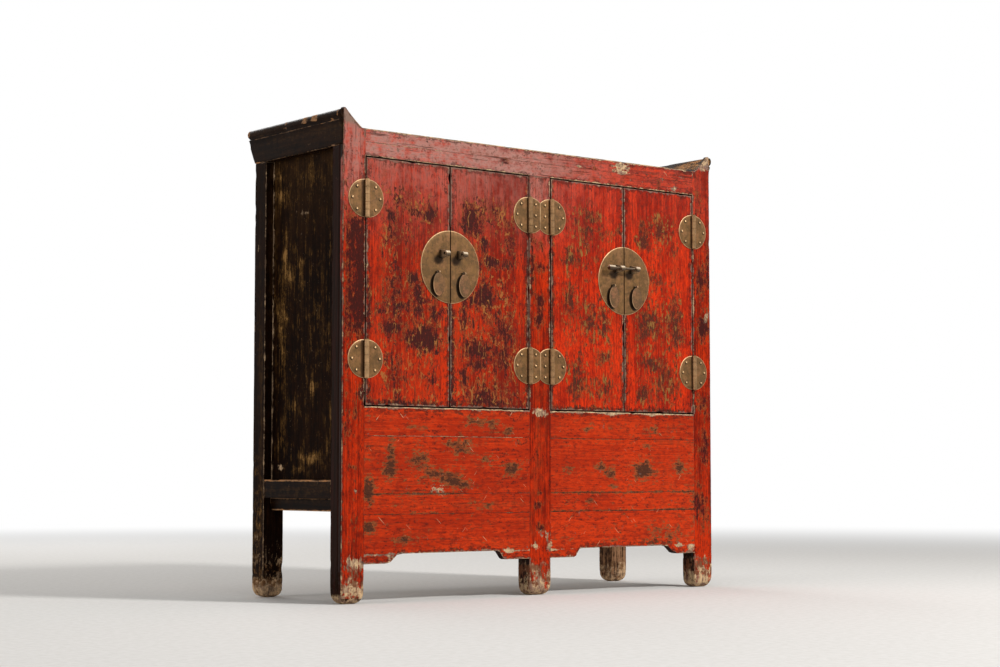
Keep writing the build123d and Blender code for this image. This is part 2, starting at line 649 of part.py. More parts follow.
def lock_plate():
    """Half of the round plate, up to the door's free edge."""
    disc = rod_y(AXIS_TO_SEAM, (-PLATE_THICKNESS, 0), LOCK_Z, LOCK_PLATE_RADIUS)
    half = disc & block(
        (AXIS_TO_SEAM - LOCK_PLATE_RADIUS, DOOR_EDGES[1]),
        (-PLATE_THICKNESS, 0),
        (LOCK_Z - LOCK_PLATE_RADIUS, LOCK_Z + LOCK_PLATE_RADIUS),
    )
    return cut(half, *lock_fittings_holes())


def lock_lug():
    """The tapered eye that the lock pin passes, with its shank clenched inside the door."""
    x = AXIS_TO_SEAM - LUG_FROM_SEAM
    tip = -LUG_REACH + LUG_TIP_RADIUS
    sides = Polyline(
        (-PLATE_THICKNESS, -LUG_BASE_HALF),
        (-PLATE_THICKNESS, LUG_BASE_HALF),
        (tip, LUG_TIP_RADIUS),
    )
    end = ThreePointArc((tip, LUG_TIP_RADIUS), (-LUG_REACH, 0), (tip, -LUG_TIP_RADIUS))
    back = Line((tip, -LUG_TIP_RADIUS), (-PLATE_THICKNESS, -LUG_BASE_HALF))
    lug = prism_x(sides + end + back, (-LUG_WIDTH / 2, LUG_WIDTH / 2))
    rounded = lug.edges().filter_by(lambda e: e.center().Y < -PLATE_THICKNESS - PAST)
    lug = fillet(rounded.filter_by(Axis.X, reverse=True), LUG_ROUNDING)
    lug = lug - rod_x((-LUG_WIDTH, LUG_WIDTH), -EYE_REACH, 0, EYE_RADIUS)
    clench_end = DOOR_THICKNESS + CLENCH_THICKNESS
    lug = lug + rod_y(0, (-PLATE_THICKNESS - PAST, clench_end), 0, SHANK_RADIUS)
    clench = block(
        (-CLENCH_LENGTH / 2, CLENCH_LENGTH / 2),
        (DOOR_THICKNESS, clench_end),
        (-CLENCH_WIDTH / 2, CLENCH_WIDTH / 2),
    )
    return Pos(x, 0, EYE_Z) * (lug + clench)


def pull_staple():
    """A U of wire through plate and door, which the pendant hangs from."""
    x = AXIS_TO_SEAM - PULL_FROM_SEAM
    bar = rod_x((x - STAPLE_HALF, x + STAPLE_HALF), -STAPLE_REACH, PULL_Z, STAPLE_RADIUS)
    for side in (-1, 1):
        leg = x + side * STAPLE_HALF
        bar = bar + Pos(leg, -STAPLE_REACH, PULL_Z) * Sphere(STAPLE_RADIUS)
        bar = bar + rod_y(leg, (-STAPLE_REACH, DOOR_THICKNESS), PULL_Z, STAPLE_RADIUS)
    return bar


def pull_pendant():
    """A flat oval drop with a rolled eye round the staple's bar."""
    x = AXIS_TO_SEAM - PULL_FROM_SEAM
    eye_half = STAPLE_HALF - STAPLE_RADIUS - PENDANT_SIDE_GAP
    centre = PULL_Z - PENDANT_TOP_DROP - PENDANT_HEIGHT / 2
    plane = Plane(
        origin=(x, -STAPLE_REACH + PENDANT_THICKNESS / 2, centre),
        x_dir=(1, 0, 0),
        z_dir=(0, -1, 0),
    )
    oval = plane * Ellipse(PENDANT_WIDTH / 2, PENDANT_HEIGHT / 2)
    drop = extrude(oval, amount=PENDANT_THICKNESS, dir=(0, -1, 0))
    eye = rod_x((x - eye_half, x + eye_half), -STAPLE_REACH, PULL_Z, PENDANT_KNUCKLE_RADIUS)
    bore = rod_x(
        (x - STAPLE_HALF, x + STAPLE_HALF),
        -STAPLE_REACH,
        PULL_Z,
        STAPLE_RADIUS + RUNNING_CLEARANCE,
    )
    return drop + eye - bore


def door():
    """Every piece of one door, by the last part of its node name."""
    places = [place for z in HINGE_HEIGHTS for place in nail_places(z, False)]
    board = block(DOOR_EDGES, (0, DOOR_THICKNESS), DOOR_ENDS)
    board = cut(board, *nail_holes(places), *lock_fittings_holes())
    battens = [
        block(
            (DOOR_EDGES[0] + BATTEN_END_INSET, DOOR_EDGES[1] - BATTEN_END_INSET),
            (DOOR_THICKNESS, DOOR_THICKNESS + BATTEN_THICKNESS),
            (low, low + BATTEN_WIDTH),
        )
        for low in (DOOR_ENDS[0] + BATTEN_INSET, DOOR_ENDS[1] - BATTEN_INSET - BATTEN_WIDTH)
    ]
    return {
        "door_board": [board],
        "door_battens": battens,
        "hinge_leaves": [hinge_leaf(z, 1, False) for z in HINGE_HEIGHTS],
        "hinge_nails": nails(places),
        "lock_plate": [lock_plate()],
        "lock_fittings": [lock_lug(), pull_staple()],
        "pull_pendant": [pull_pendant()],
    }


def doors():
    """The four doors. A left-hand one is as drawn, and its partner is its mirror image."""
    pieces = door()
    nodes = {}
    for name, axis_x, turned in (
        ("left_outer", -OUTER_AXIS_X, False),
        ("left_inner", -INNER_AXIS_X, True),
        ("right_inner", INNER_AXIS_X, False),
        ("right_outer", OUTER_AXIS_X, True),
    ):
        for piece, solids in pieces.items():
            placed = [mirrored(solid) if turned else solid for solid in solids]
            nodes[f"{name}_{piece}"] = [Pos(axis_x, 0, 0) * solid for solid in placed]
    return nodes


def frame_hinges(nodes):
    """The hinges' fixed halves, pins and nails, with the nails' holes cut in the posts."""
    leaves, pins, heads = [], [], []
    for z in HINGE_HEIGHTS:
        for axis_x, at_centre_post, post in (
            (OUTER_AXIS_X, False, "front_right_post"),
            (INNER_AXIS_X, True, "front_centre_post"),
        ):
            places = nail_places(z, at_centre_post)
            fixed = [hinge_leaf(z, 0, at_centre_post), *nails(places)]
            holes = nail_holes(places)
            if at_centre_post:
                fixed = [mirrored(solid) for solid in fixed]
                holes = [mirrored(hole) for hole in holes]
            fixed = [Pos(axis_x, 0, 0) * solid for solid in fixed]
            holes = [Pos(axis_x, 0, 0) * hole for hole in holes]
            leaves += both_sides(fixed[0])
            heads += [s for nail in fixed[1:] for s in both_sides(nail)]
            pins += both_sides(Pos(axis_x, 0, 0) * hinge_pin(z))
            others = [mirrored(hole) for hole in holes]
            nodes[post] = [cut(nodes[post][0], *holes, *(others if at_centre_post else []))]
            if not at_centre_post:
                nodes["front_left_post"] = [cut(nodes["front_left_post"][0], *others)]
    return {"frame_hinge_leaves": leaves, "hinge_pins": pins, "frame_hinge_nails": heads}


def lock_pin():
    """The right-hand pair's pin, drawn back so that its tip stops short of the far lug."""
    tip = SEAM_X + PIN_TIP
    head_end = tip - PIN_LENGTH
    rod = rod_x((head_end + PIN_HEAD_LENGTH / 2, tip), -EYE_REACH, EYE_Z, PIN_RADIUS)
    head = rod_x((head_end, head_end + PIN_HEAD_LENGTH), -EYE_REACH, EYE_Z, PIN_HEAD_RADIUS)
    head = fillet(head.edges(), PIN_HEAD_ROUNDING)
    return rod + head


def build():
    nodes = carcass()
    nodes.update(doors())
    nodes.update(frame_hinges(nodes))
    nodes["lock_pin"] = [lock_pin()]
    return nodes


def main():
    os.makedirs("parts", exist_ok=True)
    for name, pieces in build().items():
        solids = [solid for piece in pieces for solid in piece.solids()]
        placed = [Pos(0, Y_SHIFT, 0) * solid for solid in solids]
        export_step(Compound(placed), f"parts/{name}.step")
        print(name, len(placed))


if __name__ == "__main__":
    main()
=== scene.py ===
import json
import math

import bpy
import numpy as np
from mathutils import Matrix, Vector, noise


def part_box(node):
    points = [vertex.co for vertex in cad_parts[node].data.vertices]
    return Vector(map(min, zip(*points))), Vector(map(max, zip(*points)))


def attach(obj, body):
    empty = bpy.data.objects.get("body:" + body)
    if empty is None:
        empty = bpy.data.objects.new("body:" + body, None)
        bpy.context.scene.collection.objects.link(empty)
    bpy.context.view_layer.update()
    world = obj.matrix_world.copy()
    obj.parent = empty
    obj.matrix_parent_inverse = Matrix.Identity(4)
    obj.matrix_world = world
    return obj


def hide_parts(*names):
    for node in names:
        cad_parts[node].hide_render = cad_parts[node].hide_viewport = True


# The looks of a lacquered wedding cabinet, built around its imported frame. Metres, +Z up, with
# the doors towards -Y. Every wooden piece is built again as a board with uneven, chipped
# arrises, and carries four values at each vertex that the lacquers read:
#   arris  how far the vertex is from the nearest worn arris, in metres
#   mark   how strongly the lacquer is marked there by worn figures, flakes and knots, 0 to 1
#   pale   the same for places that are rubbed down to pale wood
#   board  a number of the board's own, which sets its grain apart from its neighbours'

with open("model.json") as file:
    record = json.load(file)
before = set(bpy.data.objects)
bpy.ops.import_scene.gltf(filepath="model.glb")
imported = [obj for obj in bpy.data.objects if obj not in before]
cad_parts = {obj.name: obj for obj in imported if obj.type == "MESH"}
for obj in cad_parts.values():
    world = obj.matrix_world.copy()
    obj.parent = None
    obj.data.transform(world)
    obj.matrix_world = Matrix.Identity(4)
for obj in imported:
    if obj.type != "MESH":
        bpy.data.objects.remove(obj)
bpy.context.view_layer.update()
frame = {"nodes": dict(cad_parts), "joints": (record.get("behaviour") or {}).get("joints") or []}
NODES = frame["nodes"]
HINGES = {joint["name"]: joint for joint in frame["joints"]}

# ---- camera and light ----
CAMERA_PLACE = (-3.3361, -4.1973, 0.3186)
CAMERA_YAW = math.radians(38.690)  # to the right of straight at the doors
CAMERA_PITCH = math.radians(3.996)
CAMERA_LENS = 71.515
SENSOR_WIDTH = 36.0
FLOOR_HALF = 40.0
WHITE = (1, 1, 1, 1)
WORLD_LIGHT = 0.21
LAMP_TARGET = Vector((0, 0, 0.6))
LAMPS = (
    ("key", (1.7, -4.2, 3.9), 0.75, 236.0),
    ("fill", (-2.4, -4.8, 1.8), 2.6, 28.0),
    ("side", (-4.8, 0.4, 2.2), 2.4, 46.0),
    ("back", (0.5, 4.2, 3.0), 2.4, 80.0),
    ("top", (0.0, -0.2, 4.6), 2.4, 32.0),
)

# ---- places read from the frame ----
POST_LOW, POST_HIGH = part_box("front_right_post")
CENTRE_LOW, CENTRE_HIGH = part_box("front_centre_post")
BACK_LOW, BACK_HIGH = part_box("back_right_post")
TOP_LOW, TOP_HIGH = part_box("top_board")
RAIL_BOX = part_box("front_top_rail")
SILL_LOW, SILL_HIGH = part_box("door_sills")
APRON_LOW, APRON_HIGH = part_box("front_aprons")
STOP_HEIGHT = 0.008  # how far the door stops stand beyond the rail and the sills
RAIL_LOW = RAIL_BOX[0].z + STOP_HEIGHT
SILL_TOP = SILL_HIGH.z - STOP_HEIGHT
FRONT = POST_LOW.y  # the plane of the doors and posts
STOP_FRONT = FRONT + 0.023
BAY = (CENTRE_HIGH.x, POST_LOW.x)

# ---- worn boards ----
NEAR_STOPS = (0, 0.0007, 0.0018, 0.0035, 0.006, 0.010)  # grid lines near a worn arris
FINE_GRID = 0.008
COARSE_GRID = 0.020
DOOR_GRID = 0.005
DOOR_BORDER = 0.034  # plain lacquer round the worn figures of a door
ROUNDING = 0.0012
WAVINESS = 0.0003  # the faces dip by up to this
CALM = 0.08  # how worn the arrises of a covered joint are
FAINT = 0.35  # arrises less worn than this come and go
CHIP_DEPTH = 0.0045
CHIP_SCALE = 38.0
CHIP_RARITY = 0.28  # chips start where their noise is above this
FOOT_ROUNDING = 0.008
FOOT_HEIGHT = 0.055
FOOT_CURVE = 0.023  # the curve under each foot
SCUFFS = 0.115  # how strongly the low front boards are scuffed all over
MM, PERCENT = 0.001, 0.01  # the units of the tables of marks
FACING = 0.004  # marks colour what lies this near to their plane
HALVING = 0.69  # exp(-HALVING) is a half

# ---- brass ----
PLATE_THICKNESS = 0.0018
PLATE_FRONT = FRONT - PLATE_THICKNESS
PLATE_SPLIT = 0.005  # each half hinge plate stops this far from the hinge's axis
PLATE_RINGS = (0, 0.3, 0.6, 0.85, 1)  # of a plate's flat part, as shares of its radius
RIM_WIDTH = 0.0023
RIM_DROPS = (0.25, 0.62)  # of the two rings of the sloped rim, as shares of the thickness
KNUCKLES = 5
KNUCKLE_GAP = 0.0005
KNUCKLE_EASE = 0.0006
TURN_STEPS = 28
NAIL_STEPS = 16
EYE_HEIGHT = 0.870  # the eyes of the lock's lugs
EYE_REACH = 0.022  # and how far they stand before the doors
EYE_RADIUS = 0.00305
LUG_PLACE = 0.028  # a lug's distance from the seam between its two doors
LOCK_SEAMS = (-0.29725, 0.29725)
BARREL_SHADE = 0.0105  # how far from a hinge's axis the painted shade beside its barrel reaches
LEFT_BARREL_SHADE = 0.018  # the same for the two hinges on the left post


def srgb(red, green, blue):
    """A colour given as it looks on a screen, 0 to 255, as the linear values that nodes take."""
    linear = []
    for value in (red, green, blue):
        share = value / 255
        linear.append(share / 12.92 if share <= 0.04045 else ((share + 0.055) / 1.055) ** 2.4)
    return (*linear, 1.0)


# ---- boards ----
def wobble(points, scale, seed=0.0):
    """Smooth noise at each point, about -1 to 1."""
    shift = Vector((seed, seed * 1.7, -seed))
    return np.array([noise.noise(Vector(p) * scale + shift) for p in points])


def grid_lines(low, high, soft, spacing):
    """Places along one side of a board, close together near each end that is a worn arris."""
    near = [d for d in NEAR_STOPS if d < (high - low) / 2 * 0.95]
    start, end = (near if worn else [0] for worn in soft)
    first, last = low + start[-1], high - end[-1]
    count = max(1, round((last - first) / spacing))
    middle = np.linspace(first, last, count + 1)
    return np.concatenate([low + np.array(start[:-1]), middle, high - np.array(end[-2::-1])])


def grid_box(lines):
    """The surface of a box as points and outward quads on its grid lines."""
    sizes = [len(line) for line in lines]
    corners = []
    for axis in range(3):
        a, b = (axis + 1) % 3, (axis + 2) % 3
        for side in (0, 1):
            i, j = np.meshgrid(np.arange(sizes[a] - 1), np.arange(sizes[b] - 1), indexing="ij")
            steps = [(0, 0), (1, 0), (1, 1), (0, 1)][::1 if side else -1]
            quad = np.zeros((i.size, 4, 3), int)
            for n, (di, dj) in enumerate(steps):
                quad[:, n, axis] = side * (sizes[axis] - 1)
                quad[:, n, a] = (i + di).ravel()
                quad[:, n, b] = (j + dj).ravel()
            corners.append(quad)
    corners = np.concatenate(corners)
    codes = (corners[..., 0] * sizes[1] + corners[..., 1]) * sizes[2] + corners[..., 2]
    used, faces = np.unique(codes, return_inverse=True)
    place = used // sizes[2] // sizes[1], used // sizes[2] % sizes[1], used % sizes[2]
    points = np.stack([line[n] for line, n in zip(lines, place)], axis=1)
    return points, faces.reshape(-1, 4)


def side_wear(points, low, high, soft, wear, sides, calm):
    """How far each point is from the nearest worn arris, and how worn that arris is."""
    to_side, weights = [], []
    for n, axis in enumerate("xyz"):
        for end, edge in enumerate((low[n], high[n])):
            if soft[n][end]:
                weights.append(max(sides.get(f"{axis}{end}", wear), 0.02))
                to_side.append(np.abs(points[:, n] - edge) / weights[-1])
    to_side, weights = np.array(to_side), np.array(weights)
    order = np.argsort(to_side, axis=0, kind="stable")
    arris = np.take_along_axis(to_side, order[1:2], axis=0)[0]
    weight = np.minimum(weights[order[0]], weights[order[1]])
    for x0, x1, z0, z1 in calm:
        quiet = (points[:, 0] > x0) & (points[:, 0] < x1) & (points[:, 2] > z0) & (points[:, 2] < z1)
        arris = np.where(quiet, arris / CALM, arris)
        weight = np.where(quiet, weight * CALM, weight)
    return arris, weight


def worn_radius(points, arris, weight, foot, seed):
    """How far the arrises are rounded at each point, with chips out of them."""
    near = np.flatnonzero(arris < NEAR_STOPS[-1])
    radius = ROUNDING * np.clip(0.2 + 0.8 * weight, 0, 1)
    chips = wobble(points[near], CHIP_SCALE, seed + 3.1) - CHIP_RARITY
    radius[near] *= 1 + 0.6 * wobble(points[near], 25.0, seed)
    radius[near] += weight[near] * CHIP_DEPTH * np.clip(chips, 0, 0.6) / 0.35
    if foot:
        worn = np.clip(1 - points[:, 2] / FOOT_HEIGHT, 0, 1) ** 2
        uneven = 1 + 0.35 * wobble(points, 30.0, seed + 5)
        radius += (FOOT_ROUNDING * uneven - radius) * worn
    return radius


def rounded(points, low, high, soft, radius, seed):
    """Rounds the worn arrises, and lets the faces between them dip a little."""
    inner = points.copy()
    for n in range(3):
        if soft[n][0]:
            inner[:, n] = np.maximum(inner[:, n], low[n] + radius)
        if soft[n][1]:
            inner[:, n] = np.minimum(inner[:, n], high[n] - radius)
    away = (points - inner) / radius[:, None]
    length = np.linalg.norm(away, axis=1)
    on_soft_face = np.abs(away).max(axis=1) > 0.999
    pull = (on_soft_face | (length > 1)) & (length > 0)
    away[pull] /= length[pull, None]
    dip = np.where(on_soft_face, WAVINESS * (0.5 + 0.5 * wobble(points, 9.0, seed + 9)), 0)
    return inner + away * (radius - dip)[:, None]


def board(low, high, spacing=FINE_GRID, flush="", foot=False, wear=1.0, sides=None, calm=(), shape=None,
          seed=0.0):
    """One board as (points, quads, arris distances, seed).

    flush names sides that butt against the same piece of wood, such as "y1" for the high end of
    Y: their arrises are neither worn nor rounded. sides gives how worn the arrises of other
    sides are, where that isn't wear. calm lists (low x, high x, low z, high z) boxes where the
    arrises are joints that the lacquer covers. shape bends the finished points.
    """
    low, high = np.array(low, float), np.array(high, float)
    soft = [[f"{axis}{end}" not in flush for end in (0, 1)] for axis in "xyz"]
    points, quads = grid_box([grid_lines(low[n], high[n], soft[n], spacing) for n in range(3)])
    arris, weight = side_wear(points, low, high, soft, wear, sides or {}, calm)
    faint = np.flatnonzero((weight < FAINT) & (arris < 0.5))
    shown = np.clip(0.45 + 1.9 * wobble(points[faint], 7.0, seed + 20), 0.0, 1.3)
    arris[faint] += 0.004 * np.clip(1 - shown, 0, 1)
    weight[faint] *= shown
    radius = np.minimum(worn_radius(points, arris, weight, foot, seed), (high - low).min() * 0.45)
    points = rounded(points, low, high, soft, radius, seed)
    return shape(points) if shape else points, quads, arris, seed


def mirrored(made):
    """A right-hand board made into the left-hand one."""
    points, quads, arris, seed = made
    return points * np.array([-1, 1, 1]), quads[:, ::-1], arris, seed


def painted(points, marks, front, axis=1):
    """How strongly the listed marks colour each point. A mark fades to half its strength at its
    half sizes."""
    value = np.zeros(len(points))
    across = 0 if axis == 1 else 1
    facing = np.abs(points[:, axis] - front) < FACING
    for x, z, half_width, half_height, strength in marks:
        reach = ((points[:, across] - x * MM) / (half_width * MM)) ** 2
        reach += ((points[:, 2] - z * MM) / (half_height * MM)) ** 2
        value += strength * PERCENT * np.exp(-HALVING * reach) * facing
    return np.minimum(value, 1.0)


def wooden_piece(name, boards, body, replaced, slot, material, marks=(), pale=(), front=None, axis=1,
                 field=None, bared=None):
    """Joins boards into one object that stands for CAD nodes and rides on a body.

    field and bared give more of the mark and the pale values from the points.
    """
    points = np.concatenate([b[0] for b in boards])
    starts = np.cumsum([0] + [len(b[0]) for b in boards[:-1]])
    quads = [quad.tolist() for b, start in zip(boards, starts) for quad in b[1] + start]
    mesh = bpy.data.meshes.new(name)
    mesh.from_pydata(points.tolist(), [], [list(dict.fromkeys(quad)) for quad in quads])
    mesh.polygons.foreach_set("use_smooth", [True] * len(mesh.polygons))
    front = points[:, axis].min() if front is None else front
    mark, bare = painted(points, marks, front, axis), painted(points, pale, front, axis)
    if field:
        mark = np.minimum(mark + field(points), 1.0)
    if bared:
        bare = np.minimum(bare + bared(points), 1.0)
    values = {
        "arris": np.concatenate([b[2] for b in boards]),
        "board": np.concatenate([np.full(len(b[0]), b[3]) for b in boards]),
        "mark": mark,
        "pale": bare,
    }
    for key, value in values.items():
        mesh.attributes.new(key, "FLOAT", "POINT").data.foreach_set("value", value.astype(np.float32))
    return finished(mesh, name, body, replaced, material)


def finished(mesh, name, body, replaced, material):
    """Puts a mesh in the scene, on its body, in place of its CAD nodes."""
    piece = bpy.data.objects.new(name, mesh)
    bpy.context.scene.collection.objects.link(piece)
    mesh.materials.append(material)
    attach(piece, body)
    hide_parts(*replaced)
    return piece


def islands(node):
    """The lowest and highest corner of each separate solid in a CAD node, in order of place."""
    mesh = NODES[node].data
    points = np.array([v.co for v in mesh.vertices])
    keys, owner = np.unique(np.round(points, 6), axis=0, return_inverse=True)
    owner = owner.ravel()
    group = np.arange(len(keys))
    edges = owner[np.array([edge.vertices[:] for edge in mesh.edges])]
    while True:
        lowest = np.minimum(group[edges[:, 0]], group[edges[:, 1]])
        before = group.copy()
        np.minimum.at(group, edges[:, 0], lowest)
        np.minimum.at(group, edges[:, 1], lowest)
        group = group[group]
        if (group == before).all():
            break
    boxes = [(keys[group == g].min(0), keys[group == g].max(0)) for g in np.unique(group)]
    return sorted(boxes, key=lambda box: tuple(np.round(box[0], 4)))


# ---- materials ----
class Value:
    """One output of a node. Adding, subtracting and multiplying it adds a math node."""

    def __init__(self, paint, socket):
        self.paint, self.socket = paint, socket

    def __add__(self, other):
        return self.paint.math("ADD", self, other)

    def __sub__(self, other):
        return self.paint.math("SUBTRACT", self, other)

    def __rsub__(self, other):
        return self.paint.math("SUBTRACT", other, self)

    def __mul__(self, other):
        return self.paint.math("MULTIPLY", self, other)


class Paint:
    """One material or world, built from short calls that each add a node and return its output."""

    tones = {}

    def __init__(self, made):
        self.made = made
        made.use_nodes = True
        self.tree = made.node_tree
        self.tree.nodes.clear()
        self.place = self.node("ShaderNodeTexCoord", output="Object")

    def node(self, kind, inputs=(), output=0, **settings):
        """Adds a node with its inputs, by name or number, and returns one output."""
        made = self.tree.nodes.new(kind)
        for key, value in settings.items():
            setattr(made, key, value)
        for key, value in dict(inputs).items():
            if isinstance(value, Value):
                self.tree.links.new(value.socket, made.inputs[key])
            else:
                made.inputs[key].default_value = value
        return Value(self, made.outputs[output]) if made.outputs else None

    def math(self, operation, a, b=0.0, clamp=False):
        return self.node("ShaderNodeMath", {0: a, 1: b}, operation=operation, use_clamp=clamp)

    def most(self, a, b):
        return self.math("MAXIMUM", a, b)

    def opposite(self, a):
        return self.math("SUBTRACT", 1.0, a, clamp=True)

    def step(self, value, low, high, out_low=0.0, out_high=1.0):
        """A smooth step from low to high."""
        inputs = dict(enumerate((value, low, high, out_low, out_high)))
        return self.node("ShaderNodeMapRange", inputs, interpolation_type="SMOOTHSTEP")

    def blend(self, share, a, b):
        return self.node("ShaderNodeMix", {0: share, 6: a, 7: b}, 2, data_type="RGBA")

    def lay(self, share, colour):
        """Lays a colour, or one of the tones, over the colour so far."""
        colour = self.tones[colour] if isinstance(colour, str) else colour
        self.colour = self.blend(share, self.colour, colour)

    def value(self, name):
        return self.node("ShaderNodeAttribute", output="Fac", attribute_name=name)

    def part_of(self, place, axis):
        return self.node("ShaderNodeSeparateXYZ", {0: place}, axis)

    def across(self):
        return self.part_of(self.place, 0)

    def deep(self):
        return self.part_of(self.place, 1)

    def height(self):
        return self.part_of(self.place, 2)

    def own_place(self):
        """Coordinates that jump from board to board, so that their grains differ."""
        number = self.value("board")
        jump = self.node("ShaderNodeCombineXYZ", {n: number * far for n, far in enumerate(BOARD_JUMP)})
        return self.node("ShaderNodeVectorMath", {0: self.place, 1: jump}, operation="ADD")

    def noise(self, place, scale, detail=4.0, rough=0.6, stretch=(1, 1, 1), shift=0.0):
        spread = self.node("ShaderNodeMapping", {"Vector": place, "Scale": stretch,
                                                 "Location": (shift, shift * 0.6, -shift)})
        return self.node("ShaderNodeTexNoise", {"Vector": spread, "Scale": scale, "Detail": detail,
                                                "Roughness": rough}, "Fac")

    def cracks(self, place, scale, stretch):
        """1 in thin lines between cells."""
        spread = self.node("ShaderNodeMapping", {"Vector": place, "Scale": stretch})
        cells = self.node("ShaderNodeTexVoronoi", {"Vector": spread, "Scale": scale}, "Distance",
                          feature="DISTANCE_TO_EDGE")
        return self.opposite(self.step(cells, 0.0, 0.05))

    def surface(self, roughness, relief, depth, metallic=0.0, specular=0.5):
        """Ends the material with the colour so far: depth is what a relief of 1 is in metres."""
        bump = self.node("ShaderNodeBump", {"Height": relief, "Distance": depth, "Strength": 1.0})
        shader = self.node("ShaderNodeBsdfPrincipled", {
            "Base Color": self.colour, "Roughness": roughness, "Normal": bump, "Metallic": metallic,
            "Specular IOR Level": specular})
        return self.end(shader)

    def end(self, shader, kind="ShaderNodeOutputMaterial"):
        self.node(kind, {"Surface": shader})
        return self.made


BOARD_JUMP = (1.37, 0.71, 2.13)


def along(axis, other, own):
    """How noise is stretched for wood whose grain runs along an axis."""
    return tuple(own if name == axis else other for name in "xyz")


GRAIN = {axis: along(axis, 1, 0.05) for axis in "xyz"}
HAIR = {axis: along(axis, 1, 0.015) for axis in "xyz"}  # the finest grain
MOTTLE = {axis: along(axis, 1, 0.35) for axis in "xyz"}  # small uneven dark places
CRUMB = {"x": (0.55, 1, 1), "y": (1, 0.45, 1), "z": (1, 1, 0.42)}  # the crumbled edges of flakes

RED = {
    "deep": srgb(122, 26, 10),
    "bright": srgb(200, 50, 13),
    "haze": srgb(164, 100, 88),
    "thin": srgb(124, 52, 26),
    "under": srgb(56, 26, 20),
    "fill": srgb(96, 30, 22),
    "dark": srgb(54, 25, 22),
    "gilt": srgb(160, 102, 52),
    "worn": srgb(132, 102, 88),
    "bare": srgb(214, 182, 140),
    "rind": srgb(116, 70, 48),
    "inside": srgb(27, 15, 8),
    "peak": srgb(134, 112, 98),
    # painted shade for the faces in the gaps behind the front
    "seam": srgb(20, 9, 7),
}
HAZED_RED = {**RED, "haze": srgb(176, 126, 114)}
KNOTTY_RED = {
    **RED,
    "deep": srgb(166, 42, 13),
    "bright": srgb(206, 58, 17),
    "fill": srgb(112, 64, 36),
    "dark": srgb(68, 40, 28),
    "gilt": srgb(148, 108, 60),
}
FIGURED_RED = {**RED, "inside": srgb(112, 82, 54)}
GHOSTED_RED = {
    **FIGURED_RED,
    "deep": srgb(142, 28, 10),
    "bright": srgb(220, 54, 14),
    "fill": srgb(102, 26, 16),
    "dark": srgb(74, 42, 28),
    "gilt": srgb(142, 102, 52),
}
BLACK = {
    "deep": srgb(15, 6, 3),
    "bright": srgb(35, 18, 8),
    "haze": srgb(66, 44, 24),
    "thin": srgb(78, 54, 26),
    "under": srgb(16, 9, 6),
    "fill": srgb(70, 48, 24),
    "dark": srgb(160, 118, 68),
    "gilt": srgb(112, 80, 40),
    "worn": srgb(120, 98, 80),
    "bare": srgb(214, 178, 138),
    "rind": srgb(112, 78, 50),
    "raw": srgb(158, 116, 84),
    "raw dark": srgb(66, 44, 32),
}
TAN_BLACK = {**BLACK, "bare": srgb(192, 136, 90), "worn": srgb(142, 110, 84)}


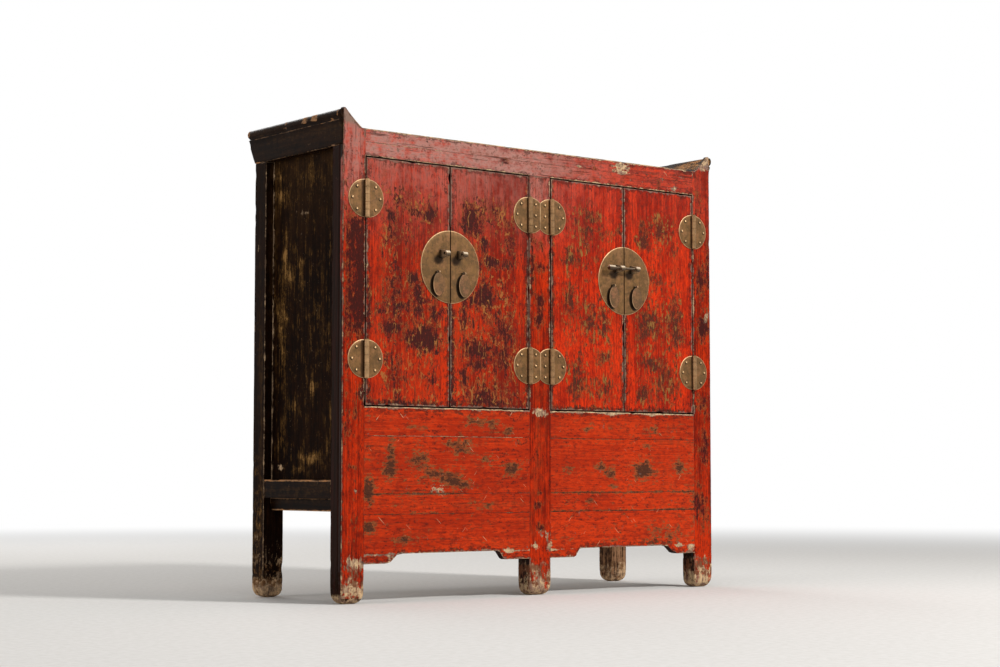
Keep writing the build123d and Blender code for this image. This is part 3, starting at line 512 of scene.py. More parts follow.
class Lacquer(Paint):
    """Old lacquer: streaked and hazed colour, worn figures and flakes, bare arrises and feet."""

    haze = 0.5  # how strong the dusty haze is
    busy = 1.0  # how much dark wear there is
    gloss = 0.45  # roughness where nothing is worn
    specular = 0.10
    edge = 1.0  # how wide the worn arrises are
    pale_edge = 0.57  # lower where more of the worn arrises are bare wood
    cover = 0.0  # more where fewer figures are worn
    crumbs = None  # how flakes are stretched
    outlines = 0.0  # how strong the broken outlines of the figures are
    tall = 0.6  # less where outlines stand taller
    scratches = 0.0  # how strong thin scratches are
    scarred = 0.0  # more where there are more pale scars
    foot = None  # the height below which the wood is bare
    peak = None  # the height above which the red is rubbed grey
    inside = None  # how far behind the front the lacquer ends
    strip = False  # whether the red runs back over the arris in places
    unpainted = None  # the X beyond which, towards the middle, a right leg was never painted

    def __init__(self, name, tones, grain, **options):
        super().__init__(bpy.data.materials.new(name))
        for key, value in options.items():
            setattr(self, key, value)
        self.tones, self.grain = tones, grain
        self.flaked = self.crumbs or CRUMB[grain]
        self.own = self.own_place()
        self.streak = self.noise(self.own, 150.0, 5.0, 0.62, GRAIN[grain])
        self.stroke = self.noise(self.own, 34.0, 5.0, 0.6, GRAIN[grain], 2.0)
        self.patch = self.noise(self.own, 34.0, 8.0, 0.72)
        self.flake = self.noise(self.place, 62.0, 6.0, 0.68, shift=4.0)
        self.fine = self.noise(self.place, 240.0, 4.0, 0.6, shift=9.0)
        self.crumb = self.noise(self.own, 135.0, 9.0, 0.76, self.flaked, 3.0)
        self.mottle = self.noise(self.own, 170.0, 4.0, 0.7, MOTTLE[grain], 6.0)
        self.uneven = self.crumb - 0.5
        self.ragged = self.uneven * 2.7 + (self.patch - 0.5) * 1.7 + (self.streak - 0.5) * 1.2

    def lay_body(self):
        """Streaked colour, with a pale haze high up and to the left, thin places and grime."""
        broad = self.noise(self.place, 2.6, 3.0)
        hair = self.noise(self.own, 430.0, 3.0, 0.6, HAIR[self.grain], 1.0)
        body = broad * 0.20 + hair * 0.16 + self.streak * 0.24 + self.stroke * 0.18 + self.patch * 0.22
        if self.outlines:
            body = body - (self.height() - 0.78) * 0.07
        self.colour = self.blend(self.step(body, 0.445, 0.545), self.tones["deep"], self.tones["bright"])
        self.lay(self.step(self.mottle, 0.47, 0.62) * 0.42, "under")
        hazed = self.patch * 0.4 + self.stroke * 0.3 + self.crumb * 0.3
        hazed = self.step(self.height(), 0.84, 1.13) * self.step(hazed, 0.38, 0.60, 0.1, 1.0) * self.haze
        self.lay(hazed * self.step(self.across(), -0.15, 0.35, 1.0, 0.12), "haze")
        thin = self.stroke * 0.4 + self.flake * 0.3 + self.crumb * 0.3
        self.lay(self.step(thin, 0.51, 0.62) * (0.55 * self.busy), "thin")
        grime = self.step(self.patch * 0.5 + self.crumb * 0.5, 0.50, 0.66)
        self.lay(grime * (0.42 * self.busy), "under")
        self.lay(self.step(self.streak, 0.57, 0.67) * (0.6 * self.busy), "under")

    def lay_figures(self):
        """Worn figures: ragged islands that thicken with the mark, rimmed with old gilt."""
        mark = self.value("mark")
        depth = mark - (0.18 + self.cover) + self.ragged * self.step(mark, 0.02, 0.16)
        self.tint = self.step(depth, 0.14, 0.40) * 0.8
        self.lay(self.tint, "fill")
        rim = self.step(depth, 0.28, 0.33) * self.opposite(self.step(depth, 0.38, 0.46))
        self.lay(rim * self.step(self.flake, 0.40, 0.56) * 0.6, "gilt")
        self.figure = self.step(depth, 0.52, 0.64)
        self.lay(self.figure * 0.9, "dark")
        relic = self.noise(self.own, 210.0, 4.0, 0.7, self.flaked, 8.0)
        self.lay(self.step(relic, 0.55, 0.61) * self.figure * 0.6, "fill")
        if self.outlines:
            self.lay(self.outline(mark, self.flake) * self.outlines, "gilt")
            self.lay(self.outline(mark, self.patch, 31.0) * self.outlines, "dark")

    def outline(self, mark, breaks, shift=0.0):
        """1 along curving, broken lines where the surface is marked, like the edges of robes."""
        field = self.noise(self.own, 30.0, 2.5, 0.55, (1, 1, self.tall), 5.0 + shift)
        line = self.opposite(self.step(self.math("ABSOLUTE", field - 0.5), 0.008, 0.018))
        return line * self.step(mark, 0.12, 0.30) * self.step(breaks, 0.46, 0.54)

    def lay_scuffs(self):
        """A peak rubbed grey, dark specks, pale scars, nicks and scratches."""
        if self.peak:
            rubbed_grey = self.height() + (self.flake - 0.5) * 0.03
            self.lay(self.step(rubbed_grey, self.peak - 0.006, self.peak + 0.010) * 0.92, "peak")
        density = self.step(self.noise(self.place, 7.0, 3.0, shift=17.0), 0.40, 0.60)
        speck = self.step(self.fine * 0.5 + self.mottle * 0.5, 0.555, 0.60) * density
        self.lay(speck * (0.9 * min(self.busy, 1.0)), "under")
        scar = self.noise(self.place, 46.0, 7.0, 0.75, shift=13.0)
        self.scar = self.step(scar, 0.665 - self.scarred, 0.70 - self.scarred)
        self.lay(self.scar * (0.8 * self.busy), "worn")
        nick = self.noise(self.place, 105.0, 5.0, 0.8, shift=21.0)
        self.nick = self.step(nick, 0.70 - self.scarred, 0.74 - self.scarred)
        self.lay(self.nick * 0.9, "bare")
        if self.scratches:
            self.lay(self.scratch() * self.scratches, "bare")

    def scratch(self):
        """1 in short thin strokes at two slants across the front."""
        strokes = []
        for turn, level in ((0.75, 0.72), (-0.9, 0.73)):
            spread = self.node("ShaderNodeMapping", {"Vector": self.place, "Rotation": (0, turn, 0),
                                                     "Scale": (20, 1, 1)}, vector_type="TEXTURE")
            fine = {"Vector": spread, "Scale": 300.0, "Detail": 2.0}
            field = self.node("ShaderNodeTexNoise", fine, "Fac")
            strokes.append(self.step(field, level, level + 0.03))
        return self.math("MINIMUM", strokes[0] + strokes[1], 1.0)

    def lay_arrises(self):
        """Arrises that are darkened, and rubbed down to the wood."""
        arris = self.value("arris")
        self.worn_here = self.noise(self.place, 42.0, 6.0, 0.72, shift=7.0)
        shade = self.step(self.worn_here + self.uneven * 0.7, 0.34, 0.74) * (0.020 * self.edge) - arris
        self.lay(self.step(shade, -0.001, 0.003) * 0.6, "under")
        rubbed = self.step(self.flake + self.uneven * 0.6, 0.34, 0.70) * (0.0052 * self.edge)
        self.rubbed = self.step(rubbed + 0.0004 - arris, -0.0005, 0.0008)
        pale = self.step(self.worn_here, self.pale_edge - 0.07, self.pale_edge + 0.07)
        self.lay(self.rubbed * 0.8, self.blend(pale, self.tones["worn"], self.tones["bare"]))

    def lay_wood(self):
        """Places and feet that are worn to bare wood."""
        pale = self.value("pale")
        self.bare = self.step(pale - 0.12 + self.ragged * self.step(pale, 0.05, 0.3), 0.40, 0.50)
        wood = self.step(self.flake * 0.6 + self.streak * 0.4, 0.42, 0.60)
        wood = self.blend(wood, self.tones["bare"], self.tones["worn"])
        wood = self.blend(self.step(self.crumb, 0.52, 0.64) * 0.85, wood, self.tones["under"])
        if self.foot:
            low = self.height() + self.ragged * 0.030
            bared = self.opposite(self.step(low, self.foot - 0.003, self.foot + 0.003))
            kept = self.patch + self.uneven * 0.7 + self.height() * 1.4
            kept = self.opposite(self.step(kept, 0.58, 0.64) * 0.95)
            self.bare = self.most(self.bare, bared * kept)
            above = self.worn_here + (self.height() - 0.045) * 3.5
            rind = self.step(above, 0.46, 0.54) * self.opposite(self.step(self.height(), 0.075, 0.090))
            wood = self.blend(rind * self.step(self.crumb, 0.30, 0.46, 0.5, 0.95), wood, self.tones["rind"])
        self.wood = wood
        self.lay(self.bare, wood)

    def lay_behind(self):
        """Painted shade on the faces in the gaps beside the front, and the wood behind that the lacquer
        doesn't reach.
        """
        bare = self.bare
        behind = self.deep() + self.uneven * 0.003
        if self.strip:
            run = self.step(self.height() + self.patch * 0.06, 0.78, 0.84, 0.0, 0.009)
            behind = behind - run * self.opposite(self.step(self.height(), 1.08, 1.10))
            # the left post's outer face stays black down to the floor
            bare = bare * self.step(self.across(), -0.6250, -0.6235)
        else:
            # painted shade: faces just behind the front, in the gaps, are darkened to near black
            self.lay(self.step(self.deep(), FRONT + 0.0003, FRONT + 0.0012) * 0.95, "seam")
        behind = self.step(behind, FRONT + self.inside - 0.0006, FRONT + self.inside + 0.0006)
        streaks = self.step(self.streak, 0.35, 0.66, 0.0, 0.5)
        hidden = self.blend(streaks, self.tones["inside"], self.tones["under"])
        hidden = self.blend(bare * 0.8, hidden, self.wood)
        hidden = self.blend(self.most(self.scar, self.nick) * 0.5, hidden, self.tones["worn"])
        self.lay(behind, hidden)

    def lay_unpainted(self):
        """Brown wood on a leg's faces that were never painted."""
        inner = self.opposite(self.step(self.across(), self.unpainted - 0.0008, self.unpainted))
        brown = self.step(self.streak * 0.6 + self.flake * 0.4, 0.44, 0.58)
        brown = self.blend(brown, self.tones["raw"], self.tones["raw dark"])
        self.lay(inner * self.opposite(self.bare * 0.8), brown)

    def finish(self):
        bared = self.most(self.bare, self.most(self.rubbed, self.most(self.scar, self.nick)))
        roughness = self.step(self.patch * 0.5 + bared * 0.6, 0.1, 0.9, self.gloss - 0.08, 0.86)
        relief = self.streak * 0.22 + self.fine * 0.10 - bared * 0.45 - self.figure * 0.25
        relief = relief - self.tint * 0.15 - self.cracks(self.own, 55.0, GRAIN[self.grain]) * 0.10
        return self.surface(roughness, relief, 0.0010, specular=self.specular)


def lacquer(name, tones, grain, **options):
    coat = Lacquer(name, tones, grain, **options)
    coat.lay_body()
    coat.lay_figures()
    coat.lay_scuffs()
    coat.lay_arrises()
    coat.lay_wood()
    if coat.inside is not None:
        coat.lay_behind()
    if coat.unpainted:
        coat.lay_unpainted()
    return coat.finish()


def raw_wood(name, grain, light, dark):
    """Unfinished aged wood, for what the doors and the back hide."""
    p = Paint(bpy.data.materials.new(name))
    place = p.own_place()
    streak = p.noise(place, 120.0, 6.0, 0.62, GRAIN[grain])
    broad = p.noise(place, 7.0, 4.0, 0.6, GRAIN[grain])
    fine = p.noise(p.place, 300.0, 3.0)
    p.colour = p.blend(p.step(streak, 0.34, 0.68), srgb(*light), srgb(*dark))
    p.lay(p.step(broad, 0.42, 0.70, 0.0, 0.55), srgb(*dark))
    p.lay(p.step(p.noise(p.place, 11.0, 6.0, 0.7, shift=5.0), 0.5, 0.72, 0.0, 0.6), srgb(52, 38, 28))
    p.lay(p.opposite(p.step(p.value("arris"), 0.0, 0.004)) * 0.45, srgb(58, 42, 30))
    relief = streak * 0.6 + fine * 0.15 - p.cracks(place, 38.0, GRAIN[grain]) * 0.5
    return p.surface(p.step(streak, 0.2, 0.8, 0.68, 0.9), relief, 0.0008, specular=0.3)


def brass(name, tones, brushed="z", roughness=0.42, metallic=0.35, lug=False, rubbed=None, soiled=False):
    """Old satin brass: fine brush lines, mottled patina, dark pits, and painted highlights and painted
    shade.

    tones are the plain, the dull and the bright one. lug is for the eye lugs: painted shade at the
    root, in the eye and under the tip. rubbed gives how far before the front the metal gets a painted
    highlight on top and painted shade below it. The plates' option adds painted shade beside the
    hinge barrels, painted shadows under the lugs and behind the pendants, and a dark line along the lock
    seams.
    """
    p = Paint(bpy.data.materials.new(name))
    base, dull, bright = (srgb(*tone) for tone in tones)
    line = p.noise(p.place, 900.0, 3.0, 0.6, GRAIN[brushed])
    cloud = p.noise(p.place, 26.0, 6.0, 0.7, shift=2.0)
    warm = p.noise(p.place, 48.0, 5.0, 0.65, shift=11.0)
    pit = p.step(p.noise(p.place, 420.0, 3.0, 0.6, shift=6.0), 0.64, 0.72)
    p.colour = p.blend(p.step(cloud, 0.38, 0.58), base, dull)
    p.lay(p.step(warm, 0.48, 0.64, 0.0, 0.75), bright)
    p.lay(p.step(p.noise(p.place, 120.0, 5.0, 0.7, shift=23.0), 0.50, 0.66, 0.0, 0.55), srgb(74, 58, 40))
    p.lay(p.step(line, 0.35, 0.7) * 0.35, srgb(84, 62, 42))
    p.lay(pit * 0.65, srgb(52, 38, 28))
    before, above = FRONT - p.deep(), p.height() - EYE_HEIGHT
    # painted highlight on top of the lug tips and the lock pin, and painted shade below it
    if rubbed is not None:
        ahead = p.step(before, rubbed, rubbed + 0.004)
        p.lay(p.step(above, 0.0012, 0.0034, 0.0, 0.9) * ahead, srgb(226, 208, 180))
        p.lay(p.step(above, 0.0005, -0.0020, 0.0, 0.75) * ahead, srgb(58, 44, 32))
    if lug:
        # painted shade at each lug's root and inside its eye
        p.lay(p.step(before, 0.003, 0.017, 0.95, 0.0), srgb(34, 24, 17))
        depth = before - EYE_REACH
        off = p.math("SQRT", depth * depth + above * above)
        p.lay(p.step(off, EYE_RADIUS - 0.0001, EYE_RADIUS + 0.0006, 0.95, 0.0), srgb(16, 11, 8))
    # painted shade beside the hinge barrels, painted shadows under the lugs and behind the pendants
    if soiled:
        shade_hinges(p)
        shade_locks(p)
    # painted highlights, up to 1, and painted shade, down to -1, as each brass piece gives them
    rim = p.value("rim")
    p.lay(p.step(rim, 0.0, 1.0) * p.step(warm, 0.36, 0.6, 0.55, 1.0), srgb(222, 180, 132))
    p.lay(p.step(rim, 0.0, -1.0) * 0.9, srgb(26, 18, 12))
    matt = p.step(cloud * 0.6 + line * 0.4, 0.3, 0.7, roughness - 0.07, roughness + 0.16)
    return p.surface(matt, line * 0.35 - pit * 0.6, 0.00025, metallic, 0.15)


def shade_hinges(p):
    """Painted shade beside the barrels of the hinges: a broad band to the left, a thin line to the right.
    """
    for name, joint in HINGES.items():
        if name.endswith("door_hinge"):
            x = joint["pos_m"][0]
            wide = LEFT_BARREL_SHADE if x < -0.5 else BARREL_SHADE
            beside = p.across() - x
            band = p.step(beside, -wide, -wide * 0.62) * p.step(beside, -0.0056, -0.0062)
            p.lay(band * 0.86, srgb(50, 30, 10))
            line = p.step(beside, 0.0056, 0.0062) * p.step(beside, 0.0100, 0.0066)
            p.lay(line * 0.60, srgb(62, 40, 18))


def shade_locks(p):
    """Painted shadows behind the pendants and under the lugs, and a dark line along the seams of the locks.
    """
    def oval(x, z, half_width, half_height, soft):
        out_x, out_z = (p.across() - x) * (1 / half_width), (p.height() - z) * (1 / half_height)
        return p.step(out_x * out_x + out_z * out_z, 1 + soft, 1 - soft)

    for name, joint in HINGES.items():
        if name.endswith("pendant_swing"):
            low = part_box(name.replace("pendant_swing", "pull_pendant"))[0].z
            # painted shadow of the pendant on the plate
            hung = oval(joint["pos_m"][0] - 0.0052, low + 0.027, 0.018, 0.030, 0.05)
            p.lay(hung * 0.88, srgb(24, 16, 9))
    for seam in LOCK_SEAMS:
        for lug in (-LUG_PLACE, LUG_PLACE):
            # painted shadow under the lug
            under = oval(seam + lug - 0.010, EYE_HEIGHT - 0.015, 0.015, 0.012, 0.75)
            p.lay(under * 0.85, srgb(30, 20, 11))
        cut = p.step(p.math("ABSOLUTE", p.across() - seam), 0.0024, 0.0012)
        p.lay(cut * 0.90, srgb(24, 15, 8))


# ---- brass shapes ----
def mesh_piece(name, parts, body, replaced, material):
    """Joins (points, faces) pairs into one smooth metal piece. A third part of each gives a painted
    highlight, up to 1, and painted shade, down to -1."""
    points, faces, light_and_shade = [], [], []
    for part_points, part_faces, *rim in parts:
        start = len(points)
        points += [tuple(point) for point in part_points]
        faces += [tuple(start + n for n in face) for face in part_faces]
        light_and_shade += rim[0] if rim else [0.0] * len(part_points)
    mesh = bpy.data.meshes.new(name)
    mesh.from_pydata(points, [], faces)
    mesh.attributes.new("rim", "FLOAT", "POINT").data.foreach_set("value", light_and_shade)
    mesh.polygons.foreach_set("use_smooth", [True] * len(mesh.polygons))
    mesh.validate()
    mesh.set_sharp_from_angle(angle=math.radians(38))
    return finished(mesh, name, body, replaced, material)


def turned(profile, origin, axis, steps=TURN_STEPS):
    """A closed solid turned round a line along an axis: profile is (radius, place along it)."""
    a, b = [n for n in range(3) if n != axis]
    points, faces = [], []
    for radius, along in profile:
        for n in range(steps):
            turn = 2 * math.pi * n / steps
            point = list(origin)
            point[axis] += along
            point[a] += radius * math.cos(turn)
            point[b] += radius * math.sin(turn)
            points.append(point)
    for ring in range(0, (len(profile) - 1) * steps, steps):
        for n in range(steps):
            m = (n + 1) % steps
            faces.append((ring + n, ring + m, ring + steps + m, ring + steps + n))
    faces.append(tuple(range(steps))[::-1])
    faces.append(tuple((len(profile) - 1) * steps + n for n in range(steps)))
    if axis == 1:
        faces = [face[::-1] for face in faces]
    return points, faces


def half_plate(cut_x, centre_z, radius, side, past=0.0, reach=None):
    """Half of a round plate with a sloped rim, beyond x = cut_x on one side.

    past is how far outside the plate the disc's own centre lies; reach cuts the half off.
    """
    count = 2 * TURN_STEPS
    points, faces, light_and_shade = [], [], []
    for layer in ("front", "back"):
        for n in range(count + 1):
            turn = math.pi * (n / count - 0.5)
            out = -past * math.cos(turn) + math.sqrt(radius**2 - (past * math.sin(turn)) ** 2)
            if reach and out * math.cos(turn) > reach:
                out = reach / math.cos(turn)
            ring = [((out - RIM_WIDTH) * share, 0) for share in PLATE_RINGS]
            ring += [(out - RIM_WIDTH * 0.35, RIM_DROPS[0]), (out, RIM_DROPS[1])]
            for distance, drop in ring:
                y = PLATE_FRONT + PLATE_THICKNESS * (drop if layer == "front" else 1)
                points.append((cut_x + side * distance * math.cos(turn), y,
                               centre_z + distance * math.sin(turn)))
            # painted highlight on the sloped rim, brighter towards the top, and painted shadow along the
            # low part of the outer edge of halves that reach to the left
            upward = 0.5 + 0.5 * math.sin(turn)
            edge = min(0.4, 2.4 * upward - 0.9) if side < 0 else 0.4
            light_and_shade += [0.0] * len(PLATE_RINGS) + [0.70 + 0.30 * upward, edge]
    per = len(PLATE_RINGS) + len(RIM_DROPS)
    total = per * (count + 1)
    for n in range(0, count * per, per):
        for k in range(n, n + per - 1):
            quad = (k, k + per, k + per + 1, k + 1)
            faces += [quad, tuple(total + i for i in quad[::-1])]
        rim = n + per - 1
        faces.append((rim, rim + per, total + rim + per, total + rim))
    for end in (0, count * per):
        for k in range(end, end + per - 1):
            wall = (k, k + 1, total + k + 1, total + k)
            faces.append(wall[::-1] if end else wall)
    if side < 0:
        faces = [face[::-1] for face in faces]
    return points, faces, light_and_shade


def knuckles(axis_x, axis_y, low, high, first, radius):
    """Every second knuckle of a hinge, with eased ends."""
    pitch = (high - low) / KNUCKLES
    # painted highlight on each barrel, stronger on the two hinges of the left post and on the barrel's
    # sides, and painted shade on its back
    painted_sheen = 0.42 if axis_x < -0.5 else 0.26
    parts = []
    for n in range(first, KNUCKLES, 2):
        start, end = low + n * pitch + KNUCKLE_GAP / 2, low + (n + 1) * pitch - KNUCKLE_GAP / 2
        half = [(radius * 0.5, 0), (radius - KNUCKLE_EASE, 0), (radius, KNUCKLE_EASE)]
        profile = half + [(out, end - start - along) for out, along in half[::-1]]
        made, faces = turned(profile, (axis_x, axis_y, start), 2)
        shades = []
        for x, y, _ in made:
            facing = (axis_y - y) / max(math.hypot(x - axis_x, y - axis_y), 1e-9)
            sideways = math.sqrt(max(0.0, 1 - facing**2))
            shades.append(painted_sheen + 0.40 * max(0.0, sideways - 0.6) / 0.4 if facing > -0.35 else -1.0)
        parts.append((made, faces, shades))
    return parts


def nail_heads(node, body, material):
    """Domed nail heads, each with a thin ring round it on the plate: painted shade on the ring, and on each
    head a painted highlight to the upper right and painted shadow to the lower left.
    """
    shares = ((-1.0, -1.0), (-1.0, -0.3), (-1.0, -0.3), (-1.0, 0.3), (-0.7, 0.9), (0.3, 1.0), (0.8, 1.0))
    parts = []
    for low, high in islands(node):
        radius, rise = (high[0] - low[0]) / 2, PLATE_FRONT - low[1]
        profile = [(radius + 0.0014, 0.0004), (radius + 0.0012, -0.00012), (radius, -0.00016),
                   (radius, -rise * 0.12), (radius * 0.8, -rise * 0.62), (radius * 0.45, -rise * 0.92),
                   (0.0002, -rise)]
        centre = ((low[0] + high[0]) / 2, PLATE_FRONT, (low[2] + high[2]) / 2)
        points, faces = turned(profile, centre, 1, NAIL_STEPS)
        shades = []
        for outer_half, inner_half in shares:
            for n in range(NAIL_STEPS):
                lower = 0.5 - 0.5 * math.cos(2 * math.pi * n / NAIL_STEPS - 0.9)
                shades.append(inner_half + (outer_half - inner_half) * min(1.0, 1.6 * lower))
        parts.append((points, faces, shades))
    mesh_piece(f"{node}_worn", parts, body, [node], material)


def crowned_oval(centre, half_width, half_height, thickness, steps=40):
    """A flat oval whose two faces are a little crowned, with painted shade on its rim and a painted
    highlight to the left just inside that.
    """
    shares = (0.35, 0.65, 0.85, 0.95, 1.0)
    points, faces, shades = [], [], []
    turns = [2 * math.pi * n / steps for n in range(steps)]
    lit = [max(0.0, -math.cos(2 * math.pi * (n - 4) / steps)) for n in range(steps)]
    for layer in (-1, 1):
        for share in shares:
            crown = thickness * math.sqrt(max(0.0, 1 - share**4)) * 0.75 + thickness * 0.25
            points += [(centre[0] + half_width * share * math.cos(turn), centre[1] + layer * crown,
                        centre[2] + half_height * share * math.sin(turn)) for turn in turns]
            shades += [{0.95: 0.7 * value, 1.0: -1.0}.get(share, 0.0) for value in lit]
        points.append((centre[0], centre[1] + layer * thickness, centre[2]))
        shades.append(0.0)
    per = steps * len(shares) + 1
    last = per - 1 - steps
    for n in range(steps):
        m = (n + 1) % steps
        front = [(per - 1, n, m)]
        for ring in range(0, last, steps):
            front.append((ring + n, ring + steps + n, ring + steps + m, ring + m))
        faces += front + [tuple(per + i for i in face[::-1]) for face in front]
        faces.append((last + n, per + last + n, per + last + m, last + m))
    return points, faces, shades


def pendant(side):
    """A flat oval drop with crowned faces, hung from a rolled eye."""
    low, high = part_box(f"{side}_pull_pendant")
    pivot = HINGES[f"{side}_pendant_swing"]["pos_m"]
    half_width, half_height, thickness = (high.x - low.x) / 2, 0.030, 0.0013
    drop = crowned_oval((pivot[0], pivot[1], low.z + half_height), half_width, half_height, thickness)
    eye, half = (high.y - low.y) / 2, 0.0036
    end = [(0.0017, -half), (eye - 0.0005, -half), (eye, -half + 0.0005)]
    points, faces = turned(end + [(out, -along) for out, along in end[::-1]], pivot, 0)
    # painted highlight on the right end of the eye and painted shade on the rest of it
    return [drop, (points, faces, [1.0 if x > pivot[0] + 0.001 else -0.8 for x, _, _ in points])]


# ---- floor, light, camera ----
def seen_white(p):
    """1 for the rays that show a thing to the camera, straight, through glass or mirrored."""
    camera, glossy, through = (p.node("ShaderNodeLightPath", output=f"Is {kind} Ray")
                               for kind in ("Camera", "Glossy", "Transmission"))
    return p.most(p.most(camera, glossy), through)


def floor_finish():
    """Pale and faintly speckled, and plain white far off."""
    p = Paint(bpy.data.materials.new("floor_finish"))
    speckle = p.step(p.noise(p.place, 60.0, 4.0), 0.3, 0.7)
    matt = p.node("ShaderNodeBsdfDiffuse",
                  {"Color": p.blend(speckle, srgb(222, 219, 214), srgb(230, 227, 223))})
    white = p.node("ShaderNodeEmission", {"Color": WHITE, "Strength": seen_white(p)})
    distance = p.node("ShaderNodeVectorMath", {0: p.place}, "Value", operation="LENGTH")
    return p.end(p.node("ShaderNodeMixShader", {0: p.step(distance, 2.2, 7.0), 1: matt, 2: white}))


def placed(name, data, place=(0, 0, 0), turn=(0, 0, 0)):
    made = bpy.data.objects.new(name, data)
    made.location, made.rotation_euler = place, turn
    bpy.context.scene.collection.objects.link(made)
    return made


def studio():
    """A pale floor that fades to white far off, soft lamps and the photograph's camera."""
    mesh = bpy.data.meshes.new("floor")
    corners = [(x * FLOOR_HALF, y * FLOOR_HALF, 0) for x, y in ((-1, -1), (1, -1), (1, 1), (-1, 1))]
    mesh.from_pydata(corners, [], [(0, 1, 2, 3)])
    mesh.materials.append(floor_finish())
    floor = placed("floor", mesh)

    world = bpy.data.worlds.new("studio")
    bpy.context.scene.world = world
    p = Paint(world)
    strength = p.node("ShaderNodeMapRange", {"Value": seen_white(p), "To Min": WORLD_LIGHT, "To Max": 1.0})
    p.end(p.node("ShaderNodeBackground", {"Color": WHITE, "Strength": strength}), "ShaderNodeOutputWorld")

    for name, place, size, power in LAMPS:
        lamp = bpy.data.lights.new(name, "AREA")
        lamp.shape, lamp.size, lamp.energy = "SQUARE", size, power
        placed(name, lamp, place, (LAMP_TARGET - Vector(place)).to_track_quat("-Z", "Y").to_euler())

    camera = bpy.data.cameras.new("camera")
    camera.lens, camera.sensor_width, camera.sensor_fit = CAMERA_LENS, SENSOR_WIDTH, "HORIZONTAL"
    turn = (math.pi / 2 + CAMERA_PITCH, 0, -CAMERA_YAW)
    bpy.context.scene.camera = placed("camera", camera, CAMERA_PLACE, turn)
    bpy.context.scene.view_settings.view_transform = "Standard"


# ---- where the lacquer is marked ----
# Each mark is (across, height, half width, half height, strength), in mm and percent.
DOOR_MARKS = {
    "left_outer": (
        (-355, 966, 24, 22, 85), (-437, 996, 42, 43, 38), (-478, 950, 13, 17, 50), (-473, 900, 36, 25, 45),
        (-415, 804, 13, 9, 70), (-477, 739, 47, 63, 52), (-477, 676, 28, 10, 80), (-397, 748, 21, 51, 50),
        (-341, 721, 29, 56, 50), (-375, 647, 37, 26, 100), (-425, 653, 18, 17, 50), (-471, 555, 26, 38, 50),
        (-351, 546, 21, 26, 45), (-445, 489, 121, 8, 80), (-550, 700, 6, 100, 85), (-548, 506, 10, 26, 60),
        (-303, 700, 4, 200, 55),
    ),
    "left_inner": (
        (-228, 964, 28, 37, 95), (-156, 994, 28, 26, 40), (-100, 927, 14, 40, 60), (-187, 899, 12, 18, 80),
        (-167, 859, 34, 13, 80), (-184, 786, 19, 35, 60), (-167, 690, 96, 83, 30), (-206, 762, 33, 17, 60),
        (-255, 725, 10, 39, 70), (-217, 627, 47, 22, 65), (-211, 591, 21, 9, 70), (-125, 605, 20, 24, 50),
        (-184, 516, 92, 36, 52), (-255, 566, 11, 17, 80), (-103, 676, 34, 35, 30), (-184, 492, 105, 10, 50),
        (-291, 660, 6, 180, 95), (-42, 780, 5, 300, 100),
    ),
    "right_inner": (
        (166, 988, 36, 50, 48), (239, 962, 31, 18, 40), (282, 970, 9, 19, 50), (112, 884, 36, 23, 56),
        (100, 770, 27, 50, 66), (177, 720, 36, 46, 56), (232, 709, 17, 37, 50), (225, 626, 21, 14, 58),
        (129, 596, 30, 27, 60), (129, 542, 29, 23, 60), (231, 540, 34, 27, 56), (158, 487, 121, 6, 70),
        (42, 780, 5, 300, 95), (290, 560, 5, 80, 60),
    ),
    "right_outer": (
        (364, 971, 22, 28, 50), (434, 995, 32, 33, 56), (376, 944, 16, 14, 70), (485, 938, 13, 14, 58),
        (414, 848, 32, 21, 56), (372, 715, 32, 51, 58), (413, 731, 22, 28, 50), (484, 763, 27, 42, 58),
        (496, 697, 26, 38, 54), (393, 614, 32, 14, 66), (456, 569, 39, 42, 56), (367, 534, 32, 21, 60),
        (303, 640, 5, 150, 75), (430, 487, 110, 6, 60),
    ),
}
